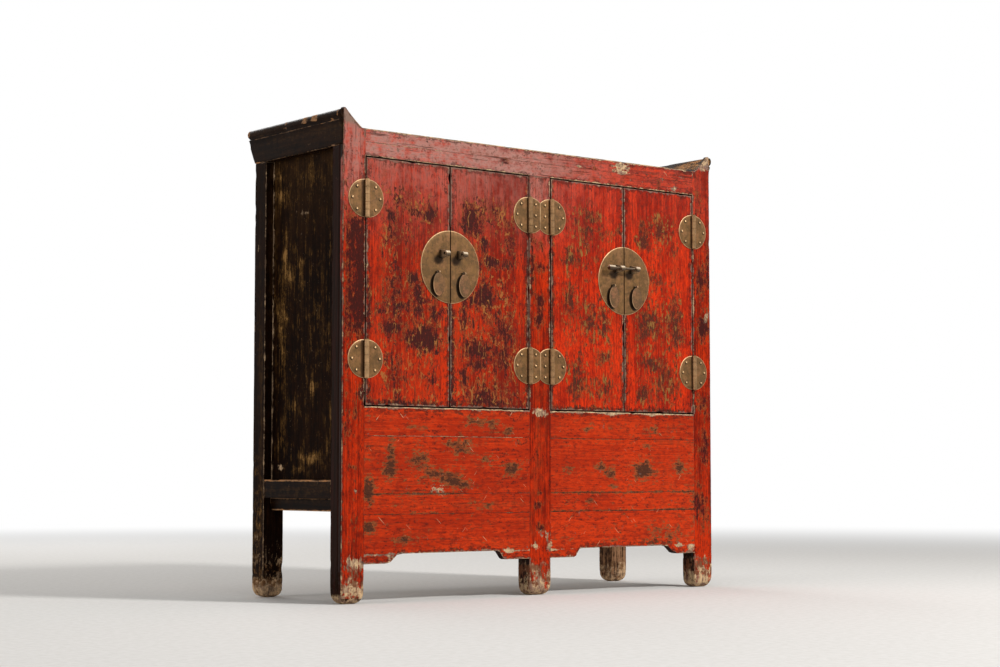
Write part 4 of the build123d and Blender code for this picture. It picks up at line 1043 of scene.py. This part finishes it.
FRONT_MARKS = (
    (-483, 326, 20, 16, 100), (-478, 368, 10, 21, 90), (-398, 351, 24, 19, 80), (-261, 379, 28, 16, 70),
    (-349, 314, 27, 12, 70), (-288, 299, 28, 16, 90), (-245, 284, 20, 7, 90), (-95, 327, 21, 14, 80),
    (-402, 429, 27, 5, 70), (-214, 447, 24, 7, 70), (-163, 442, 16, 10, 70), (-107, 429, 15, 9, 50),
    (99, 327, 17, 13, 50), (210, 334, 14, 10, 70), (245, 314, 18, 13, 80), (365, 324, 32, 20, 100),
    (500, 331, 19, 17, 80), (163, 430, 14, 5, 70), (402, 437, 24, 5, 70), (-171, 234, 9, 6, 70),
    (171, 243, 14, 6, 60), (254, 282, 14, 4, 70), (-1, 264, 10, 6, 90), (-3, 231, 15, 9, 100),
    (1, 176, 15, 11, 90), (-442, 153, 22, 9, 70), (249, 136, 17, 5, 60), (-183, 351, 11, 9, 50),
    (-307, 391, 15, 5, 60), (383, 390, 13, 9, 50), (-544, 182, 16, 11, 90), (-544, 270, 12, 24, 60),
    (566, 230, 11, 34, 45), (445, 151, 55, 20, 50), (594, 202, 24, 47, 42), (596, 385, 19, 61, 50),
    (593, 864, 19, 48, 80), (601, 726, 21, 33, 90), (593, 511, 20, 24, 70), (618, 918, 4, 72, 80),
    (582, 1084, 17, 29, 45), (588, 998, 13, 29, 45), (188, 1139, 15, 6, 60), (6, 855, 15, 13, 60),
    (0, 769, 13, 13, 90), (0, 716, 14, 31, 70), (6, 917, 16, 16, 45), (429, 1115, 10, 12, 60),
    (-117, 1126, 17, 7, 80), (-570, 793, 12, 125, 90), (-26, 852, 8, 89, 70), (-568, 502, 10, 25, 60),
    (-595, 149, 16, 9, 50), (-601, 328, 13, 5, 60), (-563, 517, 16, 17, 60), (-589, 469, 11, 26, 45),
    (-610, 421, 13, 22, 45), (-546, 282, 11, 22, 70), (-593, 196, 13, 11, 60), (-605, 865, 19, 115, 82),
    (-606, 700, 12, 70, 60), (-580, 700, 14, 50, 80), (-582, 880, 16, 60, 50), (-612, 550, 10, 90, 35),
    (-590, 300, 30, 150, 16), (592, 780, 30, 100, 25), (590, 300, 34, 150, 22), (0, 800, 20, 100, 22),
)
FRONT_PALE = (
    (608, 755, 13, 17, 90), (293, 1147, 26, 14, 150), (140, 1139, 15, 5, 80), (487, 1109, 13, 6, 80),
    (-330, 278, 27, 16, 60), (-587, 97, 26, 16, 100), (-585, 272, 6, 5, 90), (0, 474, 34, 12, 80),
    (250, 475, 30, 6, 80), (400, 476, 26, 5, 80), (-566, 512, 8, 26, 60), (0, 160, 30, 10, 50),
    (-20, 128, 12, 10, 90), (30, 130, 10, 16, 90), (-478, 110, 12, 9, 70), (545, 108, 12, 8, 80),
    (-105, 118, 12, 6, 70), (500, 122, 10, 7, 70),
)
PANEL_MARKS = (
    (-20, 1070, 49, 23, 46), (123, 1024, 16, 16, 59), (92, 874, 11, 47, 53), (12, 794, 14, 12, 59),
    (111, 715, 15, 24, 59), (20, 849, 14, 16, 40), (-112, 876, 5, 57, 46), (69, 818, 36, 24, 33),
    (131, 1080, 16, 24, 46), (-31, 526, 13, 31, 59), (103, 636, 8, 41, 46), (-33, 353, 48, 13, 72),
    (24, 326, 25, 9, 80), (-120, 457, 12, 31, 40), (59, 489, 17, 18, 40), (108, 385, 25, 18, 33),
    (-105, 387, 8, 22, 46),
)
PANEL_PALE = (
    (7, 974, 18, 6, 80), (111, 331, 13, 7, 90), (172, 674, 9, 10, 100), (167, 516, 8, 12, 90),
    (170, 600, 6, 8, 70),
)
BACK_POST_PALE = ((189, 898, 6, 10, 80), (208, 689, 6, 11, 100))
# chips out of the left flange's crest: Y, half width, strength
CREST_CHIPS = ((-0.083, 0.017, 1.1), (-0.040, 0.012, 1.1), (0.050, 0.007, 0.8), (0.226, 0.006, 0.9),
               (-0.186, 0.005, 0.9))
SHARP_CORNERS = (1, 8)  # points of the flange's outline: the fascia's foot and the cove's end
SLOPE_SAG = 0.0024  # how hollow the flange's slope is


# ---- wear that follows a shape: each returns how strong it is at each point ----
def pale_lines(*bands):
    """Rubbed lines along the front. Each is (height, half width, strength, low x, high x)."""
    def bared(points):
        value = np.zeros(len(points))
        facing = points[:, 1] < FRONT + 0.0035
        for z, half, strength, low_x, high_x in bands:
            inside = facing & (points[:, 0] > low_x) & (points[:, 0] < high_x)
            value += strength * np.clip(1.5 - np.abs(points[:, 2] - z) / half, 0, 1) * inside
        return value
    return bared


def rail_lines(outer, level, strength):
    """The same for a side rail, along one of its long arrises."""
    def bared(points):
        facing = np.abs(points[:, 0] - outer) < 0.003
        return strength * np.clip(1.5 - np.abs(points[:, 2] - level) / 0.004, 0, 1) * facing
    return bared


def ragged_back(outer, back):
    """A pale crumbled line where a side panel has drawn away from the back post."""
    def bared(points):
        facing = np.abs(points[:, 0] - outer) < 0.002
        reach = 0.0065 * (1 + 1.5 * wobble(points, 46.0, 77.0))
        return 0.75 * facing * np.clip(1.3 - (back - points[:, 1]) / np.maximum(reach, 0.001), 0, 1)
    return bared


def leg_field(outer):
    """Speckled wear low on a back leg's outer face."""
    def field(points):
        facing = np.abs(points[:, 0] - outer) < 0.003
        return facing * 0.42 * np.clip((0.42 - points[:, 2]) / 0.2, 0, 1)
    return field


def hill(value, middle, half):
    """1 at the middle, falling away smoothly."""
    return np.exp(-(((value - middle) / half) ** 2))


def panel_field(outer):
    """A side panel's streaky wear, more of it high up, in the middle and near the back."""
    def field(points):
        y, z = points[:, 1], points[:, 2]
        level = 0.16 + 0.12 * hill(z, 0.72, 0.20) + 0.10 * hill(z, 1.03, 0.05) + 0.10 * hill(y, 0.10, 0.05)
        return level * (np.abs(points[:, 0] - outer) < 0.002)
    return field


def door_field(low, high, amount):
    """A light overall wear inside a door's plain border and below its hazed top."""
    def field(points):
        inside = np.minimum(points[:, 0] - low.x, high.x - points[:, 0]) - DOOR_BORDER
        above = points[:, 2] - low.z - DOOR_BORDER * 0.3
        return amount * np.clip(np.minimum(inside, np.minimum(above, 1.035 - points[:, 2])) / 0.012, 0, 1)
    return field


def scuffed(points):
    return np.full(len(points), SCUFFS)


def flecks(points):
    """Pale flecks, more of them towards the floor."""
    return 0.42 * np.clip((0.30 - points[:, 2]) / 0.24, 0, 1)


def broken_peak(points):
    """Bare broken wood over the raised end of the right post."""
    return 0.50 * np.clip((points[:, 2] - TOP_HIGH.z) / 0.004, 0, 1) * (points[:, 1] < FRONT + 0.02)


def broken_slope(points):
    """Bare, broken wood on the right flange's slope."""
    behind, above = points[:, 1] - FRONT, points[:, 2] - TOP_HIGH.z
    slope = np.clip((above - 0.002) / 0.012, 0, 1) * (np.abs(points[:, 0]) < 0.624)
    split = hill(behind, 0.090, 0.022) * hill(above, 0.022, 0.011)
    return slope * (0.12 + 0.62 * np.clip(1.15 - behind / 0.14, 0, 1)) + 0.8 * split


def chipped_slope(points):
    """Chips out of the left flange's crest and lower edge."""
    y, z, above = points[:, 1], points[:, 2], points[:, 2] - TOP_HIGH.z
    slope = np.clip((above - 0.002) / 0.012, 0, 1) * (np.abs(points[:, 0]) < 0.624)
    value = slope * 0.25 * np.clip(1 - (y - FRONT - 0.013) / 0.07, 0, 1)
    for place, half, strength in CREST_CHIPS:
        value += strength * hill(y, place, half) * (above > 0.024)
    low_edge = np.clip(1 - (z - z.min()) / 0.008, 0, 1)
    value += 0.9 * low_edge * (hill(y, -0.158, 0.014) + hill(y, 0.195, 0.03))
    return value + 1.1 * hill(y, -0.157, 0.008) * hill(above, 0.018, 0.005)


def aged_slope(points):
    """Brown weathered wood between the splinters of the right flange's slope."""
    rise = np.clip((points[:, 2] - TOP_HIGH.z - 0.002) / 0.010, 0, 1)
    return 0.62 * rise * np.clip(1.5 - (points[:, 1] - FRONT) / 0.12, 0, 1)


# ---- shapes that boards are bent to ----
def blade(points):
    """Cuts the front of the post to the hollow slope of the flange."""
    foot, peak = POST_HIGH.x - 0.056, POST_HIGH.x - 0.006
    share = np.clip((points[:, 0] - foot) / (peak - foot), 0, 1)
    top = TOP_HIGH.z + 0.046 * share - 4 * SLOPE_SAG * share * (1 - share)
    scale = np.clip((points[:, 2] - BACK_HIGH.z) / (POST_HIGH.z - BACK_HIGH.z), 0, 1)
    points = points.copy()
    points[:, 2] += scale * (top - POST_HIGH.z)
    return points


def on_foot(low, high, shape=None):
    """Rounds the whole leg in towards the floor, after another shape."""
    middle = (Vector(low) + Vector(high)) / 2
    half = (Vector(high) - Vector(low)) / 2

    def bend(points):
        points = shape(points) if shape else points.copy()
        near_floor = np.flatnonzero(points[:, 2] < FOOT_CURVE * 1.4)
        curve = FOOT_CURVE * (1 + 0.3 * wobble(points[near_floor], 16.0, 71.0))
        down = np.clip(curve - points[near_floor, 2], 0, curve)
        inset = curve - np.sqrt(np.maximum(curve**2 - down**2, 0))
        for n in (0, 1):
            offset = points[near_floor, n] - middle[n]
            points[near_floor, n] = middle[n] + offset * (1 - 0.8 * inset / half[n])
        return points
    return bend


def apron_edge(points):
    """Bends the lower edge of an apron up from its lugs in two ogees."""
    inner, outer = BAY[0] + 0.081, BAY[1] - 0.068
    known_x = [BAY[0], inner, inner + 0.0078, inner + 0.0126, inner + 0.0185, inner + 0.028,
               outer - 0.048, outer - 0.0317, outer - 0.0216, outer - 0.0134, outer, BAY[1]]
    rise = [0, 0, 0.0037, 0.0115, 0.0202, 0.023]
    share = (APRON_HIGH.z - points[:, 2]) / (APRON_HIGH.z - APRON_LOW.z)
    points = points.copy()
    points[:, 2] += np.interp(np.abs(points[:, 0]), known_x, rise + rise[::-1]) * np.clip(share, 0, 1)
    return points


# ---- the flange ----
def flange_outline(low_z):
    """The flange seen from the front: fascia, cove, groove, bead and the slope up to it."""
    post_x, top = BACK_HIGH.x, TOP_HIGH.z
    fascia = (post_x + 0.002, low_z + 0.042)
    cove = [(fascia[0] + 0.005 * t - 0.0060 * t * (1 - t), fascia[1] + 0.020 * t)
            for t in np.linspace(0.15, 1, 6)]
    groove_x, groove_z = cove[-1]
    bead = [(post_x - 0.001 + 0.012 * math.cos(a), top + 0.031 + 0.012 * math.sin(a))
            for a in np.linspace(math.radians(-38), math.radians(100), 14)]
    (peak_x, peak_z), foot_x = bead[-1], post_x - 0.056
    slope = [(peak_x + (foot_x - peak_x) * t, peak_z + (top - peak_z) * t - 4 * SLOPE_SAG * t * (1 - t))
             for t in np.linspace(0.12, 1, 8)]
    return np.array([(POST_LOW.x, low_z), (post_x, low_z), fascia, *cove,
                     (groove_x - 0.0012, groove_z + 0.0015), (post_x + 0.003, groove_z + 0.003),
                     *bead, *slope, (POST_LOW.x, top)])


def dense_outline(outline):
    """More points where an outline is long, its outward directions, and how far each point is
    from a sharp corner."""
    dense, corners = [], []
    for n, start in enumerate(outline):
        way = outline[(n + 1) % len(outline)] - start
        if n in SHARP_CORNERS:
            corners.append(start)
        pieces = max(1, int(np.linalg.norm(way) / 0.007))
        dense += [start + way * m / pieces for m in range(pieces)]
    dense, corners = np.array(dense), np.array(corners)
    along = np.roll(dense, -1, axis=0) - np.roll(dense, 1, axis=0)
    normal = np.stack([along[:, 1], -along[:, 0]], axis=1)
    normal /= np.linalg.norm(normal, axis=1)[:, None]
    return dense, normal, np.linalg.norm(dense[:, None] - corners[None], axis=2).min(axis=1)


def flange(sign):
    """The moulded end of the top, worn and chipped along its sharp corners."""
    low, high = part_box("right_end_flange")
    top = TOP_HIGH.z
    dense, normal, away = dense_outline(flange_outline(low.z))
    before_post = [FRONT + 0.0004, FRONT + 0.0012, FRONT + 0.003, low.y - 0.002]
    lines = np.concatenate([before_post, grid_lines(low.y, high.y, (False, True), FINE_GRID)])
    points, arris = [], []
    for y in lines:
        ring = np.column_stack([dense[:, 0], np.full(len(dense), y), dense[:, 1]])
        chip = np.clip(wobble(ring, 21.0, 50.0 + sign) - 0.26, 0, 1)
        rough = np.clip(wobble(ring, 60.0, 53.0 + sign), -0.2, 1)
        settled = min(1.0, max(0.0, y - low.y) / 0.012)
        worn = 0.0002 + settled * np.exp(-away / 0.006) * (0.0090 * chip + 0.0004 * rough)
        if sign > 0:
            slope = np.clip((dense[:, 1] - top - 0.004) / 0.03, 0, 1) * (normal[:, 1] > 0.3)
            worn += settled * slope * 0.0036 * np.clip(wobble(ring, 22.0, 60.0) + 0.10, 0, 1)
            lift = np.clip((dense[:, 1] - top - 0.02) / 0.015, 0, 1)
            ring[:, 2] += 0.0030 * lift * np.clip(1 - (y - FRONT) / 0.2, 0, 1)
        worn += max(0.0, 0.0025 - (high.y - y)) + max(0.0, 0.0016 - (y - lines[0]))
        if y < low.y:  # beside the post's own raised end, only the moulding shows
            worn += np.where(dense[:, 0] < BACK_HIGH.x - 0.0005, 0.003, 0.0)
        ring[:, 0] -= normal[:, 0] * worn
        ring[:, 2] = np.minimum(ring[:, 2] - normal[:, 1] * worn, high.z - 0.0002)
        points.append(ring)
        arris.append(np.minimum(away + 0.0009, high.y - y))
    points, arris = np.concatenate(points), np.concatenate(arris)
    slant = np.clip(1 - (points[:, 2] - low.z) / 0.042, 0, 1)  # the fascia's back end leans
    points[:, 1] -= 0.019 * slant * (points[:, 1] - FRONT) / (high.y - FRONT)
    points, faces, arris = closed(points, arris, len(dense))
    made = points, faces[:, ::-1], arris, 50.0 + sign
    return made if sign > 0 else mirrored(made)


def closed(points, arris, across):
    """Quads round a stack of rings, with each end closed from its middle outwards."""
    last = len(points) - across
    faces = []
    for ring in range(0, last, across):
        for n in range(across):
            m = (n + 1) % across
            faces.append([ring + n, ring + m, ring + across + m, ring + across + n])
    for ring in (0, last):
        centre = len(points)
        rim = points[ring:ring + across]
        middle = rim.mean(axis=0)
        points = np.concatenate([points, middle + (rim - middle) * 0.6, middle[None]])
        arris = np.concatenate([arris, np.full(across, 0.008), [0.02]])
        for n in range(across):
            m = (n + 1) % across
            ends = [[ring + n, centre + n, centre + m, ring + m],
                    [centre + n, centre + across, centre + across, centre + m]]
            faces += ends if ring else [end[::-1] for end in ends]
    return points, np.array(faces), arris


# ---- the carcass ----
def carcass_piece(node, boards, slot, look, **more):
    wooden_piece(f"{node}_worn", boards, "carcass", [node], slot, look, **more)


def front_piece(node, boards, look, **more):
    """A red piece of the front, with the front's marks on it."""
    carcass_piece(node, boards, "red_lacquer", look, marks=FRONT_MARKS, pale=FRONT_PALE, front=FRONT,
                  **more)


def posts(looks):
    """The five posts."""
    red = looks["red_lacquer_upright"]
    covered = (APRON_LOW.z + 0.004, SILL_TOP - 0.003), (RAIL_LOW + 0.003, TOP_HIGH.z - 0.003)
    inner_joints = [(POST_LOW.x - 0.012, POST_LOW.x + 0.012, *span) for span in covered]
    centre_joints = [(-1, 1, *span) for span in covered] + [(-1, 1, RAIL_LOW + 0.003, 2)]
    depth = FRONT + 0.013
    for sign, side in ((1, "right"), (-1, "left")):
        face = board((POST_LOW.x, FRONT, 0), (POST_HIGH.x, depth, POST_HIGH.z), flush="y1", foot=True,
                     sides={"x1": 0.45}, calm=inner_joints, shape=on_foot(POST_LOW, POST_HIGH, blade),
                     seed=2.0 + sign)
        core = board((POST_LOW.x, depth, 0), (POST_HIGH.x, POST_HIGH.y, BACK_HIGH.z), flush="y0 z1",
                     foot=True, sides={"x1": 0.5}, shape=on_foot(POST_LOW, POST_HIGH), seed=2.0 + sign)
        boards = [face, core] if sign > 0 else [mirrored(face), mirrored(core)]
        front_piece(f"front_{side}_post", boards, red, bared=broken_peak if sign > 0 else None)
    front_piece("front_centre_post", [board(CENTRE_LOW, CENTRE_HIGH, foot=True, calm=centre_joints,
                                            shape=on_foot(CENTRE_LOW, CENTRE_HIGH), seed=5.0)], red)
    for side, seed, look, pale, bared in (
            ("left", 7.0, "black_lacquer_upright", BACK_POST_PALE, flecks),
            ("right", 8.0, "black_lacquer_half_bare", (), None)):
        low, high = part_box(f"back_{side}_post")
        outer = low.x if side == "left" else high.x
        made = board(low, high, foot=True, shape=on_foot(low, high), seed=seed)
        carcass_piece(f"back_{side}_post", [made], "black_lacquer", looks[look], pale=pale, front=outer,
                      axis=0, field=leg_field(outer), bared=bared)


def bays():
    """The number and the low and high X of each bay between the posts."""
    return enumerate(((-BAY[1], -BAY[0]), BAY))


def top_front(looks):
    """The top board and the rail under it, with its door stops."""
    red = looks["red_lacquer_across"]
    ends = {"x0": 0, "x1": 0}
    front_piece("top_board", [board((-BAY[1], TOP_LOW.y, TOP_LOW.z), (BAY[1], TOP_HIGH.y, TOP_HIGH.z),
                                    spacing=0.012, sides={**ends, "z0": 0.04}, seed=11.0)],
                red, bared=pale_lines((TOP_HIGH.z, 0.0026, 1.1, -1, 1)))
    stop_low, back = RAIL_BOX[0].z, RAIL_BOX[1].y
    rail = [board((-BAY[1], FRONT, RAIL_LOW), (BAY[1], back, TOP_LOW.z), seed=12.0,
                  sides={**ends, "z1": 0.04, "z0": 0.7}, calm=[(-BAY[0], BAY[0], 0, 2)])]
    rail += [board((low_x, STOP_FRONT, stop_low), (high_x, back, RAIL_LOW), COARSE_GRID, "z1", seed=13.0)
             for _, (low_x, high_x) in bays()]
    front_piece("front_top_rail", rail, red,
                bared=pale_lines((TOP_LOW.z, 0.0016, 0.7, -0.54, -0.32), (RAIL_LOW, 0.0016, 0.35, -1, 1)))


def low_front(looks):
    """The sills, the boards under them and the aprons."""
    red = looks["red_lacquer_low"]
    board_low, board_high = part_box("lower_front_boards")
    split = board_low.z + 0.050
    sills, flush_boards, aprons = [], [], []
    ends = {"x0": 0.06, "x1": 0.06}
    for n, (low_x, high_x) in bays():
        sills.append(board((low_x, FRONT, SILL_LOW.z), (high_x, SILL_HIGH.y, SILL_TOP), 0.005,
                           sides={**ends, "z0": 0.16, "z1": 1.3}, seed=15.0 + n))
        sills.append(board((low_x, STOP_FRONT, SILL_TOP), (high_x, SILL_HIGH.y, SILL_HIGH.z), COARSE_GRID,
                           "z0", seed=15.5))
        for m, (low_z, high_z) in enumerate(((board_low.z, split), (split, board_high.z))):
            flush_boards.append(board((low_x, FRONT, low_z), (high_x, board_high.y, high_z), 0.005,
                                      sides={**ends, "z0": 0.22, "z1": 0.18}, seed=17.0 + n + 2 * m))
        aprons.append(board((low_x, FRONT, APRON_LOW.z), (high_x, APRON_HIGH.y, APRON_HIGH.z), 0.006,
                            sides={**ends, "z1": 0.14, "z0": 1.5}, shape=apron_edge, seed=21.0 + n))
    front_piece("door_sills", sills, red, field=scuffed,
                bared=pale_lines((SILL_TOP, 0.0030, 1.3, -1, 1), (SILL_LOW.z, 0.0014, 0.9, -0.53, -0.06)))
    joints = pale_lines((board_low.z, 0.0030, 0.66, 0.03, 0.56), (board_low.z, 0.0030, 0.42, -0.53, -0.28),
                        (split, 0.0030, 0.46, 0.03, 0.56), (split, 0.0030, 0.44, -0.54, -0.25),
                        (board_high.z, 0.0024, 0.44, 0.06, 0.30))
    front_piece("lower_front_boards", flush_boards, red, field=lambda points: joints(points) + SCUFFS)
    edges = ((APRON_LOW.z, 0.0018, 0.7, -1, 1), (APRON_LOW.z + 0.012, 0.0016, 0.4, -1, 1),
             (APRON_LOW.z + 0.023, 0.0022, 0.65, -1, 1))
    front_piece("front_aprons", aprons, red, field=scuffed, bared=pale_lines(*edges))


def sides(looks):
    """The side panels and rails, and the flanges over them."""
    black, panel = looks["black_lacquer_along"], looks["black_lacquer_panel"]
    start, end = POST_HIGH.y, BACK_LOW.y
    for sign, side in ((-1, "left"), (1, "right")):
        low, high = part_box(f"{side}_side_panel")
        outer = low.x if sign < 0 else high.x
        made = board((low.x, start, low.z), (high.x, end, high.z), sides={"y1": 2.2}, seed=23.0 + sign)
        carcass_piece(f"{side}_side_panel", [made], "black_lacquer", panel, marks=PANEL_MARKS,
                      pale=PANEL_PALE, front=outer, axis=0, field=panel_field(outer),
                      bared=ragged_back(outer, end))
        low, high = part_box(f"{side}_side_rail")
        outer = low.x if sign < 0 else high.x
        made = board((low.x, start, low.z), (high.x, end, high.z), wear=1.6, sides={"z0": 0.05},
                     seed=25.0 + sign)
        carcass_piece(f"{side}_side_rail", [made], "black_lacquer", black,
                      bared=rail_lines(outer, high.z, 1.3))
        carcass_piece(f"{side}_end_flange", [flange(sign)], "black_lacquer", black,
                      bared=broken_slope if sign > 0 else chipped_slope,
                      field=aged_slope if sign > 0 else None)
    boxes = islands("bottom_side_rails")
    lower = [board((low[0], start, low[2]), (high[0], end, high[2]), wear=1.6, seed=27.0 + n)
             for n, (low, high) in enumerate(boxes)]
    carcass_piece("bottom_side_rails", lower, "black_lacquer", black,
                  bared=rail_lines(boxes[0][0][0], boxes[0][0][2], 0.8))


def hidden_wood(looks):
    """The unfinished boards of the back and the inside, and the lids."""
    across = looks["raw_wood_across"]
    for node, grain in (("back_boards", "upright"), ("floor_boards", "across"), ("inner_shelf", "across"),
                        ("inner_bearers", "back"), ("compartment_bottom", "across")):
        boards = [board(*box, COARSE_GRID, seed=31.0 + 1.3 * n) for n, box in enumerate(islands(node))]
        carcass_piece(node, boards, "bare_wood", looks[f"raw_wood_{grain}"])
    for node in ("back_top_rail", "back_lower_rails"):
        boards = [board((-BACK_LOW.x, low[1], low[2]), (BACK_LOW.x, high[1], high[2]), COARSE_GRID,
                        seed=41.0 + n) for n, (low, high) in enumerate(islands(node))]
        carcass_piece(node, boards, "bare_wood", across)
    for lid in ("left_floor_lid", "right_floor_lid"):
        boards = [board(*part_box(lid), 0.012, seed=44.0)]
        wooden_piece(f"{lid}_worn", boards, lid, [lid], "bare_wood", across)


# ---- the doors ----
def door_wood(side, looks):
    """A door's board and the two battens behind it."""
    body = f"{side}_door"
    low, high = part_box(f"{side}_door_board")
    look, amount = ("figured", 0.19) if side.startswith("left") else ("ghosted", 0.15)
    seed = 61.0 + HINGES[f"{side}_door_hinge"]["pos_m"][0] * 9
    wooden_piece(f"{side}_door_board_worn", [board(low, high, DOOR_GRID, seed=seed)], body,
                 [f"{side}_door_board"], "red_lacquer", looks[f"red_lacquer_{look}"],
                 marks=DOOR_MARKS[side], field=door_field(low, high, amount))
    node = f"{side}_door_battens"
    battens = [board(*box, 0.012, seed=66.0 + n) for n, box in enumerate(islands(node))]
    wooden_piece(f"{node}_worn", battens, body, [node], "bare_wood", looks["raw_wood_across"])


def hinge_leaves(side, sign, first, reach=None):
    """The half plates and knuckles of a door's two hinges, to one side of their axis."""
    node = f"{side}_hinge_leaves"
    axis_x, axis_y, _ = HINGES[f"{side}_door_hinge"]["pos_m"]
    barrel = axis_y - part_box(node)[0].y
    heights = [(low[2], high[2]) for low, high in islands(node)]
    radius = (heights[0][1] - heights[0][0]) / 2
    parts = []
    for bottom, top in heights:
        parts.append(half_plate(axis_x + sign * PLATE_SPLIT, (bottom + top) / 2, radius, sign, reach=reach))
        parts += knuckles(axis_x, axis_y, bottom, top, first, barrel)
    return parts


def door_brass(side, sign, looks):
    """A door's hinge leaves, lock plate, pendant, lock fittings and nails."""
    body, plate = f"{side}_door", looks["plate_brass"]
    node = f"{side}_hinge_leaves"
    mesh_piece(f"{node}_worn", hinge_leaves(side, sign, 1), body, [node], plate)
    node = f"{side}_lock_plate"
    low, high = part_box(node)
    free = high.x if sign > 0 else low.x
    radius = (high.z - low.z) / 2 + 0.000012
    lock = half_plate(free, (low.z + high.z) / 2, radius, -sign, past=abs(radius - (high.x - low.x)))
    mesh_piece(f"{node}_worn", [lock], body, [node], plate)
    node = f"{side}_pull_pendant"
    mesh_piece(f"{node}_worn", pendant(side), f"{side}_pendant", [node],
               looks["pendant_brass"])
    recoloured(f"{side}_lock_fittings", looks["dark_bronze"])
    nail_heads(f"{side}_hinge_nails", body, looks["nail_brass"])


def recoloured(node, look):
    """Gives a CAD node that keeps its mesh a better material."""
    NODES[node].data.materials.clear()
    NODES[node].data.materials.append(look)


# ---- every look, by the name of its material ----
HAZED_FRONT = {"haze": 1.05, "foot": 0.078, "inside": 0.003, "strip": True, "peak": 1.174, "specular": 0.03}
DOOR_WEAR = {"edge": 1.25, "inside": 0.0205, "outlines": 0.9, "pale_edge": 0.61, "specular": 0.06}
BLACK_WEAR = {"haze": 0.15, "edge": 0.6, "busy": 0.8, "gloss": 0.5, "specular": 0.02}
LACQUERS = {
    "red_lacquer_upright": (HAZED_RED, "z", HAZED_FRONT),
    "red_lacquer_across": (HAZED_RED, "x", {
        "haze": 1.35, "inside": 0.026, "scratches": 0.6, "pale_edge": 0.46, "busy": 1.3, "specular": 0.06,
        "scarred": 0.045}),
    "red_lacquer_low": (KNOTTY_RED, "x", {
        "haze": 0.0, "busy": 0.95, "inside": 0.026, "scratches": 0.8, "specular": 0.06, "scarred": 0.02,
        "cover": -0.02}),
    "red_lacquer_figured": (FIGURED_RED, "z", {**DOOR_WEAR, "haze": 0.9, "tall": 0.42}),
    "red_lacquer_ghosted": (GHOSTED_RED, "z", {**DOOR_WEAR, "haze": 0.8, "busy": 0.9, "tall": 0.24}),
    "black_lacquer_upright": (BLACK, "z", {**BLACK_WEAR, "foot": 0.045}),
    "black_lacquer_half_bare": (BLACK, "z", {**BLACK_WEAR, "foot": 0.050, "unpainted": 0.6235}),
    "black_lacquer_panel": (BLACK, "z", {
        "haze": 0.6, "edge": 0.8, "busy": 0.9, "gloss": 0.5, "crumbs": (1, 1, 0.13), "cover": 0.08,
        "specular": 0.01, "scarred": 0.02}),
    "black_lacquer_along": (TAN_BLACK, "y", {
        "haze": 0.2, "edge": 0.5, "busy": 0.8, "gloss": 0.36, "pale_edge": 0.64, "specular": 0.028}),
}
RAW_WOODS = {
    "raw_wood_upright": ("z", (150, 112, 74), (104, 74, 46)),
    "raw_wood_across": ("x", (156, 118, 78), (108, 78, 50)),
    "raw_wood_back": ("y", (146, 110, 72), (100, 72, 46)),
}
BRASSES = {
    "plate_brass": {"tones": ((130, 94, 55), (104, 76, 44), (146, 103, 66)), "soiled": True},
    "pendant_brass": {"tones": ((132, 94, 60), (99, 75, 50), (152, 102, 72))},
    "nail_brass": {"tones": ((196, 158, 108), (150, 118, 80), (204, 164, 116)), "roughness": 0.32,
                   "metallic": 0.6},
    "dark_bronze": {"tones": ((176, 152, 122), (138, 118, 92), (186, 160, 128)), "brushed": "x",
                    "roughness": 0.26, "metallic": 0.3, "lug": True, "rubbed": 0.0245},
    "rod_bronze": {"tones": ((104, 86, 68), (80, 66, 52), (118, 98, 78)), "brushed": "x",
                   "roughness": 0.26, "metallic": 0.3, "rubbed": 0.0},
}


def main():
    studio()
    looks = {name: lacquer(name, tones, grain, **options)
             for name, (tones, grain, options) in LACQUERS.items()}
    looks.update({name: raw_wood(name, *options) for name, options in RAW_WOODS.items()})
    looks.update({name: brass(name, **options) for name, options in BRASSES.items()})
    for build in (posts, top_front, low_front, sides, hidden_wood):
        build(looks)
    fixed = []
    for side, sign in (("left_outer", 1), ("left_inner", -1), ("right_inner", 1), ("right_outer", -1)):
        door_wood(side, looks)
        door_brass(side, sign, looks)
        axis_x = HINGES[f"{side}_door_hinge"]["pos_m"][0]
        reach = abs(axis_x) - 0.0002 - PLATE_SPLIT if side.endswith("inner") else None
        fixed += hinge_leaves(side, -sign, 0, reach)
    mesh_piece("frame_hinge_leaves_worn", fixed, "carcass", ["frame_hinge_leaves"],
               looks["plate_brass"])
    nail_heads("frame_hinge_nails", "carcass", looks["nail_brass"])
    recoloured("hinge_pins", looks["plate_brass"])
    recoloured("lock_pin", looks["rod_bronze"])


main()
